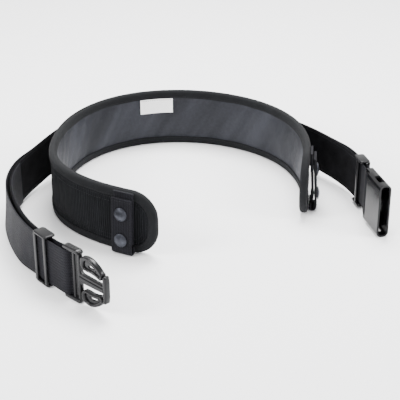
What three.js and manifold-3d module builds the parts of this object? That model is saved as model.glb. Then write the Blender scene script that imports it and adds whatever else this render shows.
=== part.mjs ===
// A padded work belt: a padded sleeve bent round the waist, a 50 mm web belt that runs
// through a tunnel on its back, two snap keepers, and a side-release buckle.
// Millimetres, +Z up. The belt stands on its lower edges, with the opening towards -Y.
import * as THREE from 'three';
import { mergeVertices } from 'three/addons/utils/BufferGeometryUtils.js';
import Module from 'manifold-3d';

const wasm = await Module();
wasm.setup();

// ---- driving dimensions ----
const planCentre = { x: -4.5, y: -38.2 }; // middle of the belt's outline in plan
const padHeight = 72.5;
const padThickness = 9; // over the binding
const padCornerRadius = 30;
const layerGap = 0.3; // left between neighbouring layers
const bindingLeg = 9.5; // how far the binding reaches in from the edge
const bindingTape = 1.2;
const clothThickness = 0.8;
const webWidth = 50;
const webThickness = 1.4;
const webBottom = (padHeight - webWidth) / 2;
const tunnelWall = 1;
const stationStep = 10; // spacing of the bent strips' cross-sections

const maleHeight = 59;
const maleThickness = 5;
const femaleHeight = 62.5;
const femaleThickness = 13.5;
const femaleLength = 46;
const femaleWall = 2;
const barRadius = 2.6;
const barInset = 2; // the strap bars end this far inside the buckles' upper and lower faces

// ---- bend profiles, seen from above ----
// Each run starts at a point with a heading, and turns by so many degrees per 100 mm
// at each knot, straight-line between knots.
const padRun = makeRun({
  start: [-44.2, -137.6],
  heading: 158,
  knots: [0, 80, 155, 230, 305, 380, 455, 530, 605, 680, 770],
  turns: [-8, -30, -54, -19, -38, -47, -39, -36, -40, -30, -9],
  outwardSign: 1,
});
const padLength = padRun.length;
const leftMouth = 320; // arc lengths where the belt leaves the tunnel
const rightMouth = 575;
const beltOffset = padThickness / 2 + 0.65; // the belt's mid-plane, out from the pad's
const leftRun = makeRun({
  ...padRun.pointBeside(leftMouth, beltOffset, 180),
  knots: [0, 60, 120, 180, 240, 300, 378],
  turns: [-2, 15, 21, 41, 16, 26, 19],
  outwardSign: -1,
});
const rightRun = makeRun({
  ...padRun.pointBeside(rightMouth, beltOffset, 0),
  knots: [0, 40, 90, 140, 215],
  turns: [11, 3, -35, -30, -10],
  outwardSign: 1,
});
const leftDirection = -44; // headings of the male and the female buckle, degrees
const rightDirection = -77;

// ---- materials ----
function finish(color, roughness, metalness = 0) {
  return new THREE.MeshStandardMaterial({ color, roughness, metalness });
}
const outerFabric = finish(0x222426, 0.85);
const liningFabric = finish(0x505258, 0.6);
const bindingFabric = finish(0x323436, 0.75);
const webbingFabric = finish(0x2c2c32, 0.7);
const velvet = finish(0x101012, 0.95);
const foam = finish(0x3a3a3c, 0.9);
const labelCloth = finish(0xe8e8e6, 0.7);
const mouldedPlastic = finish(0x141416, 0.25);
const snapMetal = finish(0x6e6e72, 0.3, 0.9);

// ---- runs and bent strips ----
function makeRun({ start, heading, knots, turns, outwardSign }) {
  const length = knots[knots.length - 1];
  const turnAt = (s) => {
    const clamped = Math.min(Math.max(s, 0), length);
    let i = 0;
    while (i < knots.length - 2 && clamped > knots[i + 1]) i++;
    const t = (clamped - knots[i]) / (knots[i + 1] - knots[i]);
    return THREE.MathUtils.degToRad(turns[i] + t * (turns[i + 1] - turns[i])) / 100;
  };
  const samples = [{ x: start[0], y: start[1], angle: THREE.MathUtils.degToRad(heading) }];
  for (let s = 0; s < length; s++) {
    const last = samples[s];
    const middle = last.angle + turnAt(s + 0.25) / 2;
    samples.push({
      x: last.x + Math.cos(middle),
      y: last.y + Math.sin(middle),
      angle: last.angle + turnAt(s + 0.5),
    });
  }
  const at = (s) => {
    const i = Math.min(Math.max(Math.floor(s), 0), length - 1);
    const t = s - i;
    const angle = samples[i].angle + t * (samples[i + 1].angle - samples[i].angle);
    return {
      x: samples[i].x + t * (samples[i + 1].x - samples[i].x),
      y: samples[i].y + t * (samples[i + 1].y - samples[i].y),
      angle,
      outX: -Math.sin(angle) * outwardSign,
      outY: Math.cos(angle) * outwardSign,
    };
  };
  const pointBeside = (s, offset, turnBy) => {
    const p = at(s);
    const beside = [p.x + p.outX * offset, p.y + p.outY * offset];
    return { start: beside, heading: THREE.MathUtils.radToDeg(p.angle) + turnBy };
  };
  return { length, at, pointBeside, outwardSign };
}

// Arc lengths of a strip's cross-sections: closer together in rounded end corners.
function stations(from, to, cornerRadius) {
  const list = [from, to];
  if (cornerRadius > 0) {
    for (let i = 1; i <= 8; i++) {
      const reach = cornerRadius * (1 - Math.cos((i * Math.PI) / 16));
      list.push(from + reach, to - reach);
    }
  }
  const first = Math.ceil((from + cornerRadius + 2) / stationStep) * stationStep;
  for (let s = first; s < to - cornerRadius - 2; s += stationStep) list.push(s);
  return list.sort((a, b) => a - b);
}

// A flat strip, cut to length with rounded corners, then bent along a run.
// lift raises it and shift moves it outward, each as a function of arc length.
function strip({ run, from, to, inner, outer, bottom, top, cornerRadius = 0, lift, shift }) {
  const list = stations(from, to, cornerRadius);
  const last = list.length - 1;
  const geometry = new THREE.BoxGeometry(last, 1, 1, last, 1, 1);
  const position = geometry.attributes.position;
  const middle = (top + bottom) / 2;
  const half = (top - bottom) / 2;
  for (let i = 0; i < position.count; i++) {
    const s = list[Math.round(position.getX(i) + last / 2)];
    const cut = Math.max(0, cornerRadius - Math.min(s - from, to - s));
    const rounding = cornerRadius - Math.sqrt(cornerRadius ** 2 - cut ** 2);
    const z = middle + 2 * position.getZ(i) * (half - rounding) + (lift ? lift(s) : 0);
    const out = (position.getY(i) < 0 ? inner : outer) + (shift ? shift(s) : 0);
    const p = run.at(s);
    position.setXYZ(i, p.x + p.outX * out, p.y + p.outY * out, z);
  }
  // A run whose outward side is on the right mirrors the strip, so its faces are turned over.
  if (run.outwardSign < 0) flipFaces(geometry);
  geometry.computeVertexNormals();
  return geometry;
}

function flipFaces(geometry) {
  const index = geometry.index;
  for (let i = 0; i < index.count; i += 3) {
    const second = index.getX(i + 1);
    index.setX(i + 1, index.getX(i + 2));
    index.setX(i + 2, second);
  }
}

// ---- cutting and joining ----
function toSolid(geometry) {
  const bare = geometry.clone();
  bare.deleteAttribute('normal');
  bare.deleteAttribute('uv');
  const merged = mergeVertices(bare, 1e-4);
  const vertProperties = new Float32Array(merged.attributes.position.array);
  const triVerts = new Uint32Array(merged.index.array);
  return new wasm.Manifold(new wasm.Mesh({ numProp: 3, vertProperties, triVerts }));
}

function toGeometry(solid) {
  const mesh = solid.getMesh();
  const geometry = new THREE.BufferGeometry();
  geometry.setAttribute('position', new THREE.BufferAttribute(mesh.vertProperties, 3));
  geometry.setIndex(new THREE.BufferAttribute(mesh.triVerts, 1));
  geometry.computeVertexNormals();
  return geometry;
}

function subtract(base, ...cutters) {
  return toGeometry(cutters.reduce((solid, cutter) => solid.subtract(toSolid(cutter)), toSolid(base)));
}

function join(base, ...others) {
  return toGeometry(others.reduce((solid, other) => solid.add(toSolid(other)), toSolid(base)));
}

// ---- assembly helpers ----
const belt = new THREE.Group();
belt.position.set(-planCentre.x, -planCentre.y, 0);

function addPiece(parent, name, geometry, material) {
  const piece = new THREE.Mesh(geometry, material);
  piece.name = name;
  parent.add(piece);
  return piece;
}

// A smooth 0 to 1 step between two arc lengths.
function ease(s, from, to) {
  return THREE.MathUtils.smoothstep(s, from, to);
}

// A plate cut from an outline in the X-Z plane, centred on Y, with its edges eased.
function plate(shape, thickness, bevel = 0) {
  const geometry = new THREE.ExtrudeGeometry(shape, {
    depth: thickness - 2 * bevel,
    curveSegments: 6,
    bevelEnabled: bevel > 0,
    bevelThickness: bevel,
    bevelSize: bevel,
    bevelOffset: -bevel,
    bevelSegments: 2,
  });
  geometry.translate(0, 0, bevel - thickness / 2);
  geometry.rotateX(Math.PI / 2);
  return geometry;
}

function roundedRectangle(left, right, low, high, radius) {
  const shape = new THREE.Shape();
  shape.moveTo(left + radius, low);
  shape.lineTo(right - radius, low);
  shape.absarc(right - radius, low + radius, radius, -Math.PI / 2, 0, false);
  shape.lineTo(right, high - radius);
  shape.absarc(right - radius, high - radius, radius, 0, Math.PI / 2, false);
  shape.lineTo(left + radius, high);
  shape.absarc(left + radius, high - radius, radius, Math.PI / 2, Math.PI, false);
  shape.lineTo(left, low + radius);
  shape.absarc(left + radius, low + radius, radius, Math.PI, 1.5 * Math.PI, false);
  return shape;
}

function block(left, right, near, far, low, high) {
  const geometry = new THREE.BoxGeometry(right - left, far - near, high - low);
  geometry.translate((left + right) / 2, (near + far) / 2, (low + high) / 2);
  return geometry;
}

// ---- the padded sleeve ----
function padLayer(inset, inner, outer) {
  return strip({
    run: padRun,
    from: inset,
    to: padLength - inset,
    inner,
    outer,
    bottom: inset,
    top: padHeight - inset,
    cornerRadius: padCornerRadius - inset,
  });
}

function addPad() {
  const face = padThickness / 2;
  const inside = face - bindingTape; // half the space between the binding's two legs
  const inset = bindingTape + layerGap;
  const coverOuter = inside - layerGap; // the cover's outer face, from the pad's mid-plane
  const coverInner = coverOuter - clothThickness;
  const foamHalf = coverInner - layerGap;
  addPiece(belt, 'pad_outer_cover', padLayer(inset, coverInner, coverOuter), outerFabric);
  addPiece(belt, 'pad_foam_core', padLayer(inset + layerGap, -foamHalf, foamHalf), foam);
  addPiece(belt, 'pad_inner_lining', padLayer(inset, -coverOuter, -coverInner), liningFabric);
  const binding = subtract(
    padLayer(0, -face, face),
    padLayer(bindingTape, -inside, inside),
    padLayer(bindingLeg, -2 * face, 2 * face),
  );
  addPiece(belt, 'edge_binding', binding, bindingFabric);

  const labelMiddle = 423;
  const labelLength = 44;
  const labelHeight = 19;
  const labelTop = padHeight - bindingLeg - layerGap;
  const label = strip({
    run: padRun,
    from: labelMiddle - labelLength / 2,
    to: labelMiddle + labelLength / 2,
    inner: -coverOuter - layerGap - 0.5,
    outer: -coverOuter - layerGap,
    bottom: labelTop - labelHeight,
    top: labelTop,
  });
  addPiece(belt, 'care_label', label, labelCloth);
  return coverOuter;
}

// ---- the tunnel and the belt in it ----
function addTunnelAndBelt(coverOuter) {
  const overlap = 4; // the belt's middle part shows this much beyond the tunnel's mouths
  const mouthGap = 0.4;
  const span = { run: padRun, from: leftMouth + overlap, to: rightMouth - overlap };
  const channelTop = webBottom + webWidth + 0.5;
  const channelBottom = webBottom - 0.5;
  const channelOuter = beltOffset + webThickness + 2 * layerGap;
  const sleeve = strip({
    ...span,
    inner: coverOuter + layerGap,
    outer: channelOuter + tunnelWall,
    bottom: channelBottom - tunnelWall,
    top: channelTop + tunnelWall,
  });
  const channel = strip({
    run: padRun,
    from: leftMouth - stationStep,
    to: rightMouth + stationStep,
    inner: 0,
    outer: channelOuter,
    bottom: channelBottom,
    top: channelTop,
  });
  const roof = subtract(sleeve, channel);
  addPiece(belt, 'belt_tunnel', roof, outerFabric);
  const beltSpan = {
    run: padRun,
    from: leftMouth + mouthGap,
    to: rightMouth - mouthGap,
    bottom: webBottom,
    top: webBottom + webWidth,
  };
  const half = layerGap / 2;
  const webbing = strip({
    ...beltSpan,
    inner: beltOffset + half,
    outer: beltOffset + half + webThickness,
  });
  addPiece(belt, 'belt_webbing_center', webbing, webbingFabric);
  const lining = strip({
    ...beltSpan,
    inner: beltOffset - half - webThickness,
    outer: beltOffset - half,
  });
  addPiece(belt, 'belt_lining_center', lining, velvet);
}

// ---- keepers: snap loops near the pad's ends ----
const keeperWidth = 25;
const flapThickness = 1.5;
const flapFoot = { y: 13.2, z: 10 }; // on the flap's mid-plane, where it leaves the fold
const flapTip = { y: 10.2, z: 65 };
const strapBehind = 4.4; // the inner strap's mid-plane, behind the flap's
const snapHeights = { upper: 48, lower: 18 };
const snapRadius = 7.5;

// A ribbon seen from the side: a centre line of (y, z) points, thickened, keeperWidth wide.
function ribbon(line, thickness) {
  const normals = line.map((p, i) => {
    const before = line[Math.max(i - 1, 0)];
    const after = line[Math.min(i + 1, line.length - 1)];
    const run = Math.hypot(after[0] - before[0], after[1] - before[1]);
    return [-(after[1] - before[1]) / run, (after[0] - before[0]) / run];
  });
  const side = (sign) => line.map((p, i) => new THREE.Vector2(
    p[0] + (sign * normals[i][0] * thickness) / 2,
    p[1] + (sign * normals[i][1] * thickness) / 2,
  ));
  const outline = side(1).concat(side(-1).reverse());
  const geometry = new THREE.ExtrudeGeometry(new THREE.Shape(outline), {
    depth: keeperWidth,
    bevelEnabled: false,
  });
  geometry.translate(0, 0, -keeperWidth / 2);
  geometry.rotateY(Math.PI / 2);
  geometry.rotateX(Math.PI / 2);
  return geometry;
}

// A turned piece whose axis points outward (+Y). The profile runs from its outer end inward.
function turned(profile) {
  const points = profile.map(([r, y]) => new THREE.Vector2(r, y)).reverse();
  return new THREE.LatheGeometry(points, 20);
}

function addKeeper(side, middle) {
  const keeper = new THREE.Group();
  const p = padRun.at(middle);
  keeper.position.set(p.x, p.y, 0);
  keeper.rotation.z = p.angle;
  belt.add(keeper);

  const tabY = padThickness / 2 + layerGap + flapThickness / 2;
  const topTab = ribbon([[tabY, padHeight - 1], [tabY, flapTip.z + 0.8]], flapThickness);
  addPiece(keeper, `${side}_keeper_top_tab`, topTab, webbingFabric);
  const bottomTab = ribbon(
    [[tabY, 9.5], [tabY, 3.2], [tabY + 0.6, 1.8], [tabY + 1.9, 1.1], [flapFoot.y - 2.6, 1.1]],
    flapThickness,
  );
  addPiece(keeper, `${side}_keeper_bottom_tab`, bottomTab, webbingFabric);

  const slope = (flapTip.y - flapFoot.y) / (flapTip.z - flapFoot.z);
  const flapY = (z) => flapFoot.y + slope * (z - flapFoot.z);
  const lean = Math.atan(slope);
  const bottomEdge = 13;
  const topEdge = flapTip.z + 0.2;
  const strapLine = [
    [flapY(topEdge) - strapBehind, topEdge],
    [flapY(bottomEdge) - strapBehind, bottomEdge],
  ];
  const flapLine = [
    [flapFoot.y - 2.1, 1.2],
    [flapFoot.y - 0.7, 2.2],
    [flapFoot.y - 0.1, 4.2],
    [flapFoot.y, flapFoot.z],
    [flapTip.y, flapTip.z],
  ];

  const holes = [];
  const snaps = [];
  for (const [place, z] of Object.entries(snapHeights)) {
    const snap = new THREE.Group();
    snap.position.set(0, flapY(z), z);
    snap.rotation.x = -lean;
    keeper.add(snap);
    snap.updateMatrix();
    snaps.push([place, snap]);
    const hole = new THREE.CylinderGeometry(2, 2, 30, 16);
    hole.applyMatrix4(snap.matrix);
    holes.push(hole);
  }
  const strap = subtract(ribbon(strapLine, flapThickness), ...holes);
  addPiece(keeper, `${side}_keeper_inner_strap`, strap, webbingFabric);
  const flap = subtract(ribbon(flapLine, flapThickness), ...holes);
  addPiece(keeper, `${side}_keeper_flap`, flap, webbingFabric);

  // The cap's post passes through the flap and ends in a socket; the stud faces it.
  const face = flapThickness / 2;
  const capProfile = [
    [0, face + 3.1],
    [3.4, face + 2.8],
    [5.8, face + 2],
    [snapRadius, face + 0.9],
    [snapRadius, face + layerGap],
    [1.6, face + layerGap],
    [1.6, -face - layerGap],
    [4.6, -face - layerGap],
    [4.6, -face - 1.6],
    [2.6, -face - 1.6],
    [2.6, -face - 0.7],
    [0, -face - 0.7],
  ];
  const strapFace = -strapBehind + face;
  const studProfile = [
    [0, strapFace + 1.8],
    [2, strapFace + 1.8],
    [2, strapFace + 0.8],
    [4.6, strapFace + 0.8],
    [4.6, strapFace + layerGap],
    [1.6, strapFace + layerGap],
    [1.6, -strapBehind - face - layerGap],
    [4, -strapBehind - face - layerGap],
    [4, -strapBehind - face - 0.9],
    [0, -strapBehind - face - 0.9],
  ];
  for (const [place, snap] of snaps) {
    addPiece(snap, `${side}_${place}_snap_cap`, turned(capProfile), snapMetal);
    addPiece(snap, `${side}_${place}_snap_stud`, turned(studProfile), snapMetal);
  }
}

// ---- wings of the belt ----
const loopRadius = 4.7; // mid-thickness radius of the webbing's turn round a buckle's bar
const loopReach = 14; // the wing's layers end this far short of the bar
const railGap = 0.9; // above and below the webbing in a buckle or slider
const sliderLength = 26;
const sliderBar = 3;

// A ribbon seen from above: a centre line of (x, y) points, thickened, between two heights.
function wall(line, thickness, low, high) {
  const sides = [1, -1].map((sign) => line.map((p, i) => {
    const before = line[Math.max(i - 1, 0)];
    const after = line[Math.min(i + 1, line.length - 1)];
    const run = Math.hypot(after[0] - before[0], after[1] - before[1]);
    const reach = (sign * thickness) / 2 / run;
    const across = (after[1] - before[1]) * reach;
    const along = (after[0] - before[0]) * reach;
    return new THREE.Vector2(p[0] - across, p[1] + along);
  }));
  const shape = new THREE.Shape(sides[0].concat(sides[1].reverse()));
  const geometry = new THREE.ExtrudeGeometry(shape, { depth: high - low, bevelEnabled: false });
  geometry.translate(0, 0, low);
  return geometry;
}

// A group standing on a run, its +X along the run and its height at the floor.
function standOn(run, s, heading) {
  const group = new THREE.Group();
  const p = run.at(s);
  group.position.set(p.x, p.y, 0);
  group.rotation.z = heading === undefined ? p.angle : THREE.MathUtils.degToRad(heading);
  belt.add(group);
  return group;
}

function addBarLoop(wing, innerOffset, outerOffset, low) {
  const back = -loopReach + 0.4;
  const line = [[back, outerOffset], [-loopReach * 0.55, (outerOffset + 2 * loopRadius) / 3]];
  for (let degrees = 105; degrees >= -105; degrees -= 15) {
    const turn = THREE.MathUtils.degToRad(degrees);
    line.push([loopRadius * Math.cos(turn), loopRadius * Math.sin(turn)]);
  }
  line.push([-loopReach * 0.55, (innerOffset - 2 * loopRadius) / 3], [back, innerOffset]);
  const facing = line.map(([x, y]) => [x, y * wing.outwardSign]);
  if (wing.outwardSign < 0) facing.reverse();
  const loop = wall(facing, webThickness, low, low + webWidth);
  addPiece(standOn(wing.run, wing.run.length), `${wing.side}_bar_loop`, loop, webbingFabric);
}

// The slider is a ring round the layers: two bars outside, one inside, joined above and below.
function addSlider(wing, inner, outer, low) {
  const top = low + webWidth + railGap;
  const bottom = low - railGap;
  const rail = 3.5;
  const near = inner - sliderBar;
  const far = outer + sliderBar;
  const half = sliderLength / 2;
  const sign = wing.outwardSign;
  const across = (a, b) => [Math.min(a * sign, b * sign), Math.max(a * sign, b * sign)];
  const lid = (from) => {
    const [left, right] = across(near, far);
    const outline = roundedRectangle(-half, half, left, right, 3);
    const cut = { depth: rail, bevelEnabled: false, curveSegments: 4 };
    const geometry = new THREE.ExtrudeGeometry(outline, cut);
    geometry.translate(0, 0, from);
    return geometry;
  };
  const bar = (x, y0, y1) => {
    const [left, right] = across(y0, y1);
    return block(x - 2, x + 2, left, right, bottom - rail / 2, top + rail / 2);
  };
  const ring = join(
    lid(top),
    lid(bottom - rail),
    bar(-half + 3, outer, far - 0.2),
    bar(half - 3, outer, far - 0.2),
    bar(0, near + 0.2, inner),
  );
  addPiece(standOn(wing.run, wing.sliderAt), `${wing.side}_slider`, ring, mouldedPlastic);
}

function addWing(wing) {
  const low = (wing.buckleHeight - webWidth) / 2;
  const end = wing.run.length - loopReach;
  const half = layerGap / 2;
  const common = {
    run: wing.run,
    bottom: webBottom,
    top: webBottom + webWidth,
    lift: (s) => (low - webBottom) * ease(s, 20, 120),
  };
  const swell = (s) => wing.swell * ease(s, wing.swellFrom, wing.swellFrom + 45);
  const outward = half + webThickness;
  const outerWeb = { ...common, from: 0.4, to: end, inner: half, outer: outward, shift: swell };
  addPiece(belt, `${wing.side}_webbing`, strip(outerWeb), webbingFabric);
  const lining = { ...common, from: 0.4, to: wing.liningEnd, inner: -outward, outer: -half };
  addPiece(belt, `${wing.side}_lining`, strip(lining), velvet);
  const depth = wing.returnLayer * (webThickness + layerGap);
  const returned = {
    ...common,
    from: wing.returnFrom,
    to: end,
    inner: -outward - depth,
    outer: -half - depth,
  };
  addPiece(belt, `${wing.side}_${wing.returnName}`, strip(returned), webbingFabric);
  const middle = half + webThickness / 2;
  addBarLoop(wing, -middle - depth, middle + wing.swell, low);
  addSlider(wing, -outward - depth - 0.6, outward + wing.swell + 0.6, low);
}

// ---- buckle ----
// Both halves stand in a group whose origin is the middle of the strap bar, +X to the tip.
const shoulder = { from: 15.5, to: 19.5 };
const guideTip = 57.5;
const ladderBar = { from: 8.2, to: 11.5 };

function mirrored(half, axisHeight) {
  const upper = half.map(([x, h]) => new THREE.Vector2(x, axisHeight + h));
  const lower = half.map(([x, h]) => new THREE.Vector2(x, axisHeight - h)).reverse();
  return new THREE.Shape(lower.concat(upper));
}

// The round bar that the webbing turns about.
function strapBar(height) {
  const geometry = new THREE.CylinderGeometry(barRadius, barRadius, height - 2 * barInset, 20);
  geometry.rotateX(Math.PI / 2);
  geometry.translate(0, 0, height / 2);
  return geometry;
}

function addMaleBuckle() {
  const buckle = standOn(leftRun, leftRun.length, leftDirection);
  const middle = maleHeight / 2;
  const webTop = (maleHeight + webWidth) / 2 + railGap;
  const webLow = maleHeight - webTop;
  const outline = mirrored([
    [-4, middle - 2.5],
    [-2.5, middle - 0.6],
    [0, middle],
    [shoulder.to - 3, middle],
    [shoulder.to - 0.8, middle - 0.9],
    [shoulder.to, middle - 3],
    [shoulder.to, 7],
    [shoulder.to + 2, 5],
    [guideTip - 5, 4.2],
    [guideTip - 4.4, 5.4],
    [guideTip - 4, 12.5],
    [guideTip - 3.2, 14.6],
    [guideTip - 2, 15],
    [guideTip - 0.8, 14],
    [guideTip, 8],
  ], middle);
  const between = (from, to) => block(from, to, -10, 10, webLow, webTop);
  const frame = join(
    subtract(
      plate(outline, maleThickness, 0.8),
      between(-20, ladderBar.from),
      between(ladderBar.to, shoulder.from),
    ),
    strapBar(maleHeight),
  );
  addPiece(buckle, 'male_buckle_frame', frame, mouldedPlastic);

  const leaf = [
    [21, 14.5], [20.2, 17], [20.1, 20.5], [21.2, 23.4], [24, 25.2], [28.5, 26.6], [34, 26.6],
    [38.5, 25.4], [43, 23.2], [47.4, 20.4], [50.8, 17.2], [52, 14.8], [52.2, 12], [51.3, 10],
    [49.3, 9], [46, 9.4], [41, 10.7], [35.6, 11.3], [29.4, 11], [24.6, 11.5],
  ];
  const hollow = [
    [25.3, 16.4], [26.7, 21.2], [31, 23.3], [36.5, 22.4], [41.8, 19.6], [46.3, 16.2], [48.9, 13.6],
    [48, 12.1], [44.5, 12.4], [39, 14], [33, 14.5], [27.6, 14.2],
  ];
  for (const [place, sign] of [['upper', 1], ['lower', -1]]) {
    const facing = (points) => points.map(([x, h]) => [x, middle + sign * h]);
    const shape = new THREE.Shape(smoothLoop(facing(leaf)));
    shape.holes.push(new THREE.Path(smoothLoop(facing(hollow))));
    addPiece(buckle, `${place}_release_arm`, plate(shape, maleThickness - 1), mouldedPlastic);
  }
}

// A closed outline that passes smoothly through the points, anticlockwise.
function smoothLoop(points) {
  const through = points.map(([x, y]) => new THREE.Vector3(x, y, 0));
  const curve = new THREE.CatmullRomCurve3(through, true, 'centripetal');
  const outline = curve.getPoints(40).slice(1).map((p) => new THREE.Vector2(p.x, p.y));
  return THREE.ShapeUtils.isClockWise(outline) ? outline.reverse() : outline;
}

function addFemaleBuckle() {
  const buckle = standOn(rightRun, rightRun.length, rightDirection);
  const half = femaleThickness / 2;
  const shellFrom = 8;
  const backWall = 3;
  const webTop = (femaleHeight + webWidth) / 2 + railGap;
  const webLow = femaleHeight - webTop;
  const tube = (shrink, from, to) => {
    const side = half - shrink;
    const section = roundedRectangle(-side, side, shrink, femaleHeight - shrink, side - 1);
    const cut = { depth: to - from, bevelEnabled: false, curveSegments: 6 };
    const geometry = new THREE.ExtrudeGeometry(section, cut);
    geometry.rotateX(Math.PI / 2);
    geometry.rotateZ(Math.PI / 2);
    geometry.translate(from, 0, 0);
    return geometry;
  };
  const windowSpan = [20, 36];
  const rails = subtract(
    plate(roundedRectangle(-5, shellFrom + 2, 0.3, femaleHeight - 0.3, 3), 8, 0.8),
    block(-20, shellFrom - 1, -10, 10, webLow, webTop),
  );
  const body = subtract(
    join(tube(0, shellFrom, femaleLength), rails, strapBar(femaleHeight)),
    tube(femaleWall, shellFrom + backWall, femaleLength + 5),
    block(...windowSpan, -3.6, 3.6, -5, 8),
    block(...windowSpan, -3.6, 3.6, femaleHeight - 8, femaleHeight + 5),
    block(0, 14, -3, 3, 12, 28),
  );
  addPiece(buckle, 'female_buckle_body', body, mouldedPlastic);
}

// ---- the whole belt ----
const coverOuter = addPad();
addTunnelAndBelt(coverOuter);
addKeeper('left', 37);
addKeeper('right', padLength - 40);
addWing({
  side: 'left',
  run: leftRun,
  outwardSign: -1,
  buckleHeight: maleHeight,
  liningEnd: 320,
  returnName: 'adjuster_tail',
  returnFrom: 150,
  returnLayer: 1,
  swell: 3,
  swellFrom: 100,
  sliderAt: 340,
});
addWing({
  side: 'right',
  run: rightRun,
  outwardSign: 1,
  buckleHeight: femaleHeight,
  liningEnd: 186,
  returnName: 'return_strap',
  returnFrom: 186.4,
  returnLayer: 0,
  swell: 3,
  swellFrom: 100,
  sliderAt: 179,
});
addMaleBuckle();
addFemaleBuckle();

export default belt;
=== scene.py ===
from math import cos, pi, radians, sin, tau

import bmesh
import bpy
import numpy as np
from bpy.props import FloatProperty, FloatVectorProperty, PointerProperty
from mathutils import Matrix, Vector


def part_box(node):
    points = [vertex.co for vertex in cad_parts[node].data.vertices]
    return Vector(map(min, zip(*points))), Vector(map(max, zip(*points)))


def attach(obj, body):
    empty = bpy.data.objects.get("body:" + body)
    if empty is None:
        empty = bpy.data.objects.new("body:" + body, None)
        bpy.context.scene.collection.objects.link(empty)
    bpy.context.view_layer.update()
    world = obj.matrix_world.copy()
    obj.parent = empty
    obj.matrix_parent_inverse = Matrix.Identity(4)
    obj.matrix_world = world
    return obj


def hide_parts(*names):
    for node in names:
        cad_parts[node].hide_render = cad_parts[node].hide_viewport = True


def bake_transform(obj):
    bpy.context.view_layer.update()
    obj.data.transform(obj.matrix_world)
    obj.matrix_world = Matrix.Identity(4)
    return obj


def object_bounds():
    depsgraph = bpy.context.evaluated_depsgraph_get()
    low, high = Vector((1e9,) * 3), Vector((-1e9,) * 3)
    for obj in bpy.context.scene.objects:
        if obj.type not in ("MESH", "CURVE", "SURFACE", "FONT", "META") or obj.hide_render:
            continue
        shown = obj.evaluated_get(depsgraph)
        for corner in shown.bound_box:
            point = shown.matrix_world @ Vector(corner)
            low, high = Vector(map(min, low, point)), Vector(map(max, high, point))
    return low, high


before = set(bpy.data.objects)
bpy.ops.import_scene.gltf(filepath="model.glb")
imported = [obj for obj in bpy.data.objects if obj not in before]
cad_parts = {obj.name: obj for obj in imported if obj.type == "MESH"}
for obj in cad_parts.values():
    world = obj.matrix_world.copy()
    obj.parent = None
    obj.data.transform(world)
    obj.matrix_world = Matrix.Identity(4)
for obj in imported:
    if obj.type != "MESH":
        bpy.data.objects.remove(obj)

bl_info = {
    "name": "Padded Work Belt",
    "version": (1, 0, 0),
    "blender": (4, 5, 0),
    "location": "View3D > Sidebar > Work Belt",
    "description": "Builds a padded work belt round its packed CAD frame",
    "category": "Object",
}

CAD_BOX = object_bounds()
MM = 0.001
PLAN_CENTRE = (-4.5 * MM, -38.2 * MM)  # the same shift that the frame has
LAYER_GAP = 0.3 * MM


# ---- numbers and outlines ----
def ease(value, start, end):
    """0 before start, 1 after end and a smooth step between them."""
    t = np.clip((value - start) / (end - start), 0, 1)
    return t * t * (3 - 2 * t)


def linear(red, green, blue):
    """A colour of 0 to 255 display values as the linear values that shaders use."""
    shown = np.array([red, green, blue]) / 255
    return tuple(np.where(shown < 0.04045, shown / 12.92, ((shown + 0.055) / 1.055) ** 2.4))


class Run:
    """A line in plan that flat pieces are bent along. Turns are in degrees per 100 mm."""

    step = 1 * MM

    def __init__(self, start, heading, knots, turns, side):
        self.side = side
        self.length = knots[-1] * MM
        count = round(self.length / self.step)
        self.s = np.arange(count + 1) * self.step

        def turn_at(s):
            return np.radians(np.interp(s, np.array(knots) * MM, turns)) / 100

        angle = np.concatenate([[0], np.cumsum(turn_at(self.s[:-1] + self.step / 2))])
        self.angle = radians(heading) + angle
        middle = self.angle[:-1] + turn_at(self.s[:-1] + self.step / 4) / 2
        self.x = start[0] + self.step * np.concatenate([[0], np.cumsum(np.cos(middle))])
        self.y = start[1] + self.step * np.concatenate([[0], np.cumsum(np.sin(middle))])

    def at(self, s):
        """Place and heading at a distance along the run, which goes straight on past its ends."""
        s = np.asarray(s, float)
        inside = np.clip(s, 0, self.length)
        angle = np.interp(inside, self.s, self.angle)
        x = np.interp(inside, self.s, self.x) + (s - inside) * np.cos(angle)
        y = np.interp(inside, self.s, self.y) + (s - inside) * np.sin(angle)
        return x, y, angle

    def bend(self, flat):
        """Points of a flat piece (along, outward, up), bent along the run."""
        s, out, z = np.moveaxis(np.asarray(flat, float), -1, 0)
        x, y, angle = self.at(s)
        out = out * self.side
        return np.stack([x - np.sin(angle) * out, y + np.cos(angle) * out, z], -1)

    def beside(self, s, offset):
        """The plan place at a distance out from the run."""
        x, y, _ = self.bend((s, offset, 0))
        return x, y

    def heading(self, s):
        """The run's heading in degrees."""
        return float(np.degrees(self.at(s)[2]))


PAD_RUN = Run(
    start=(-44.2 * MM - PLAN_CENTRE[0], -137.6 * MM - PLAN_CENTRE[1]),
    heading=158,
    knots=[0, 80, 155, 230, 305, 380, 455, 530, 605, 680, 770],
    turns=[-8, -30, -54, -19, -38, -47, -39, -36, -40, -30, -9],
    side=1,
)
LEFT_MOUTH = 320 * MM  # where the belt leaves the tunnel
RIGHT_MOUTH = 575 * MM
BELT_OFFSET = 5.15 * MM
WEB = 1.4 * MM
WEB_HEIGHT = 50 * MM
WEB_BOTTOM = 11.25 * MM
LEFT_RUN = Run(
    start=PAD_RUN.beside(LEFT_MOUTH, BELT_OFFSET),
    heading=PAD_RUN.heading(LEFT_MOUTH) + 180,
    knots=[0, 60, 120, 180, 240, 300, 378],
    turns=[-2, 15, 21, 41, 16, 26, 19],
    side=-1,
)
RIGHT_RUN = Run(
    start=PAD_RUN.beside(RIGHT_MOUTH, BELT_OFFSET),
    heading=PAD_RUN.heading(RIGHT_MOUTH),
    knots=[0, 40, 90, 140, 215],
    turns=[11, 3, -35, -30, -10],
    side=1,
)


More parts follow.
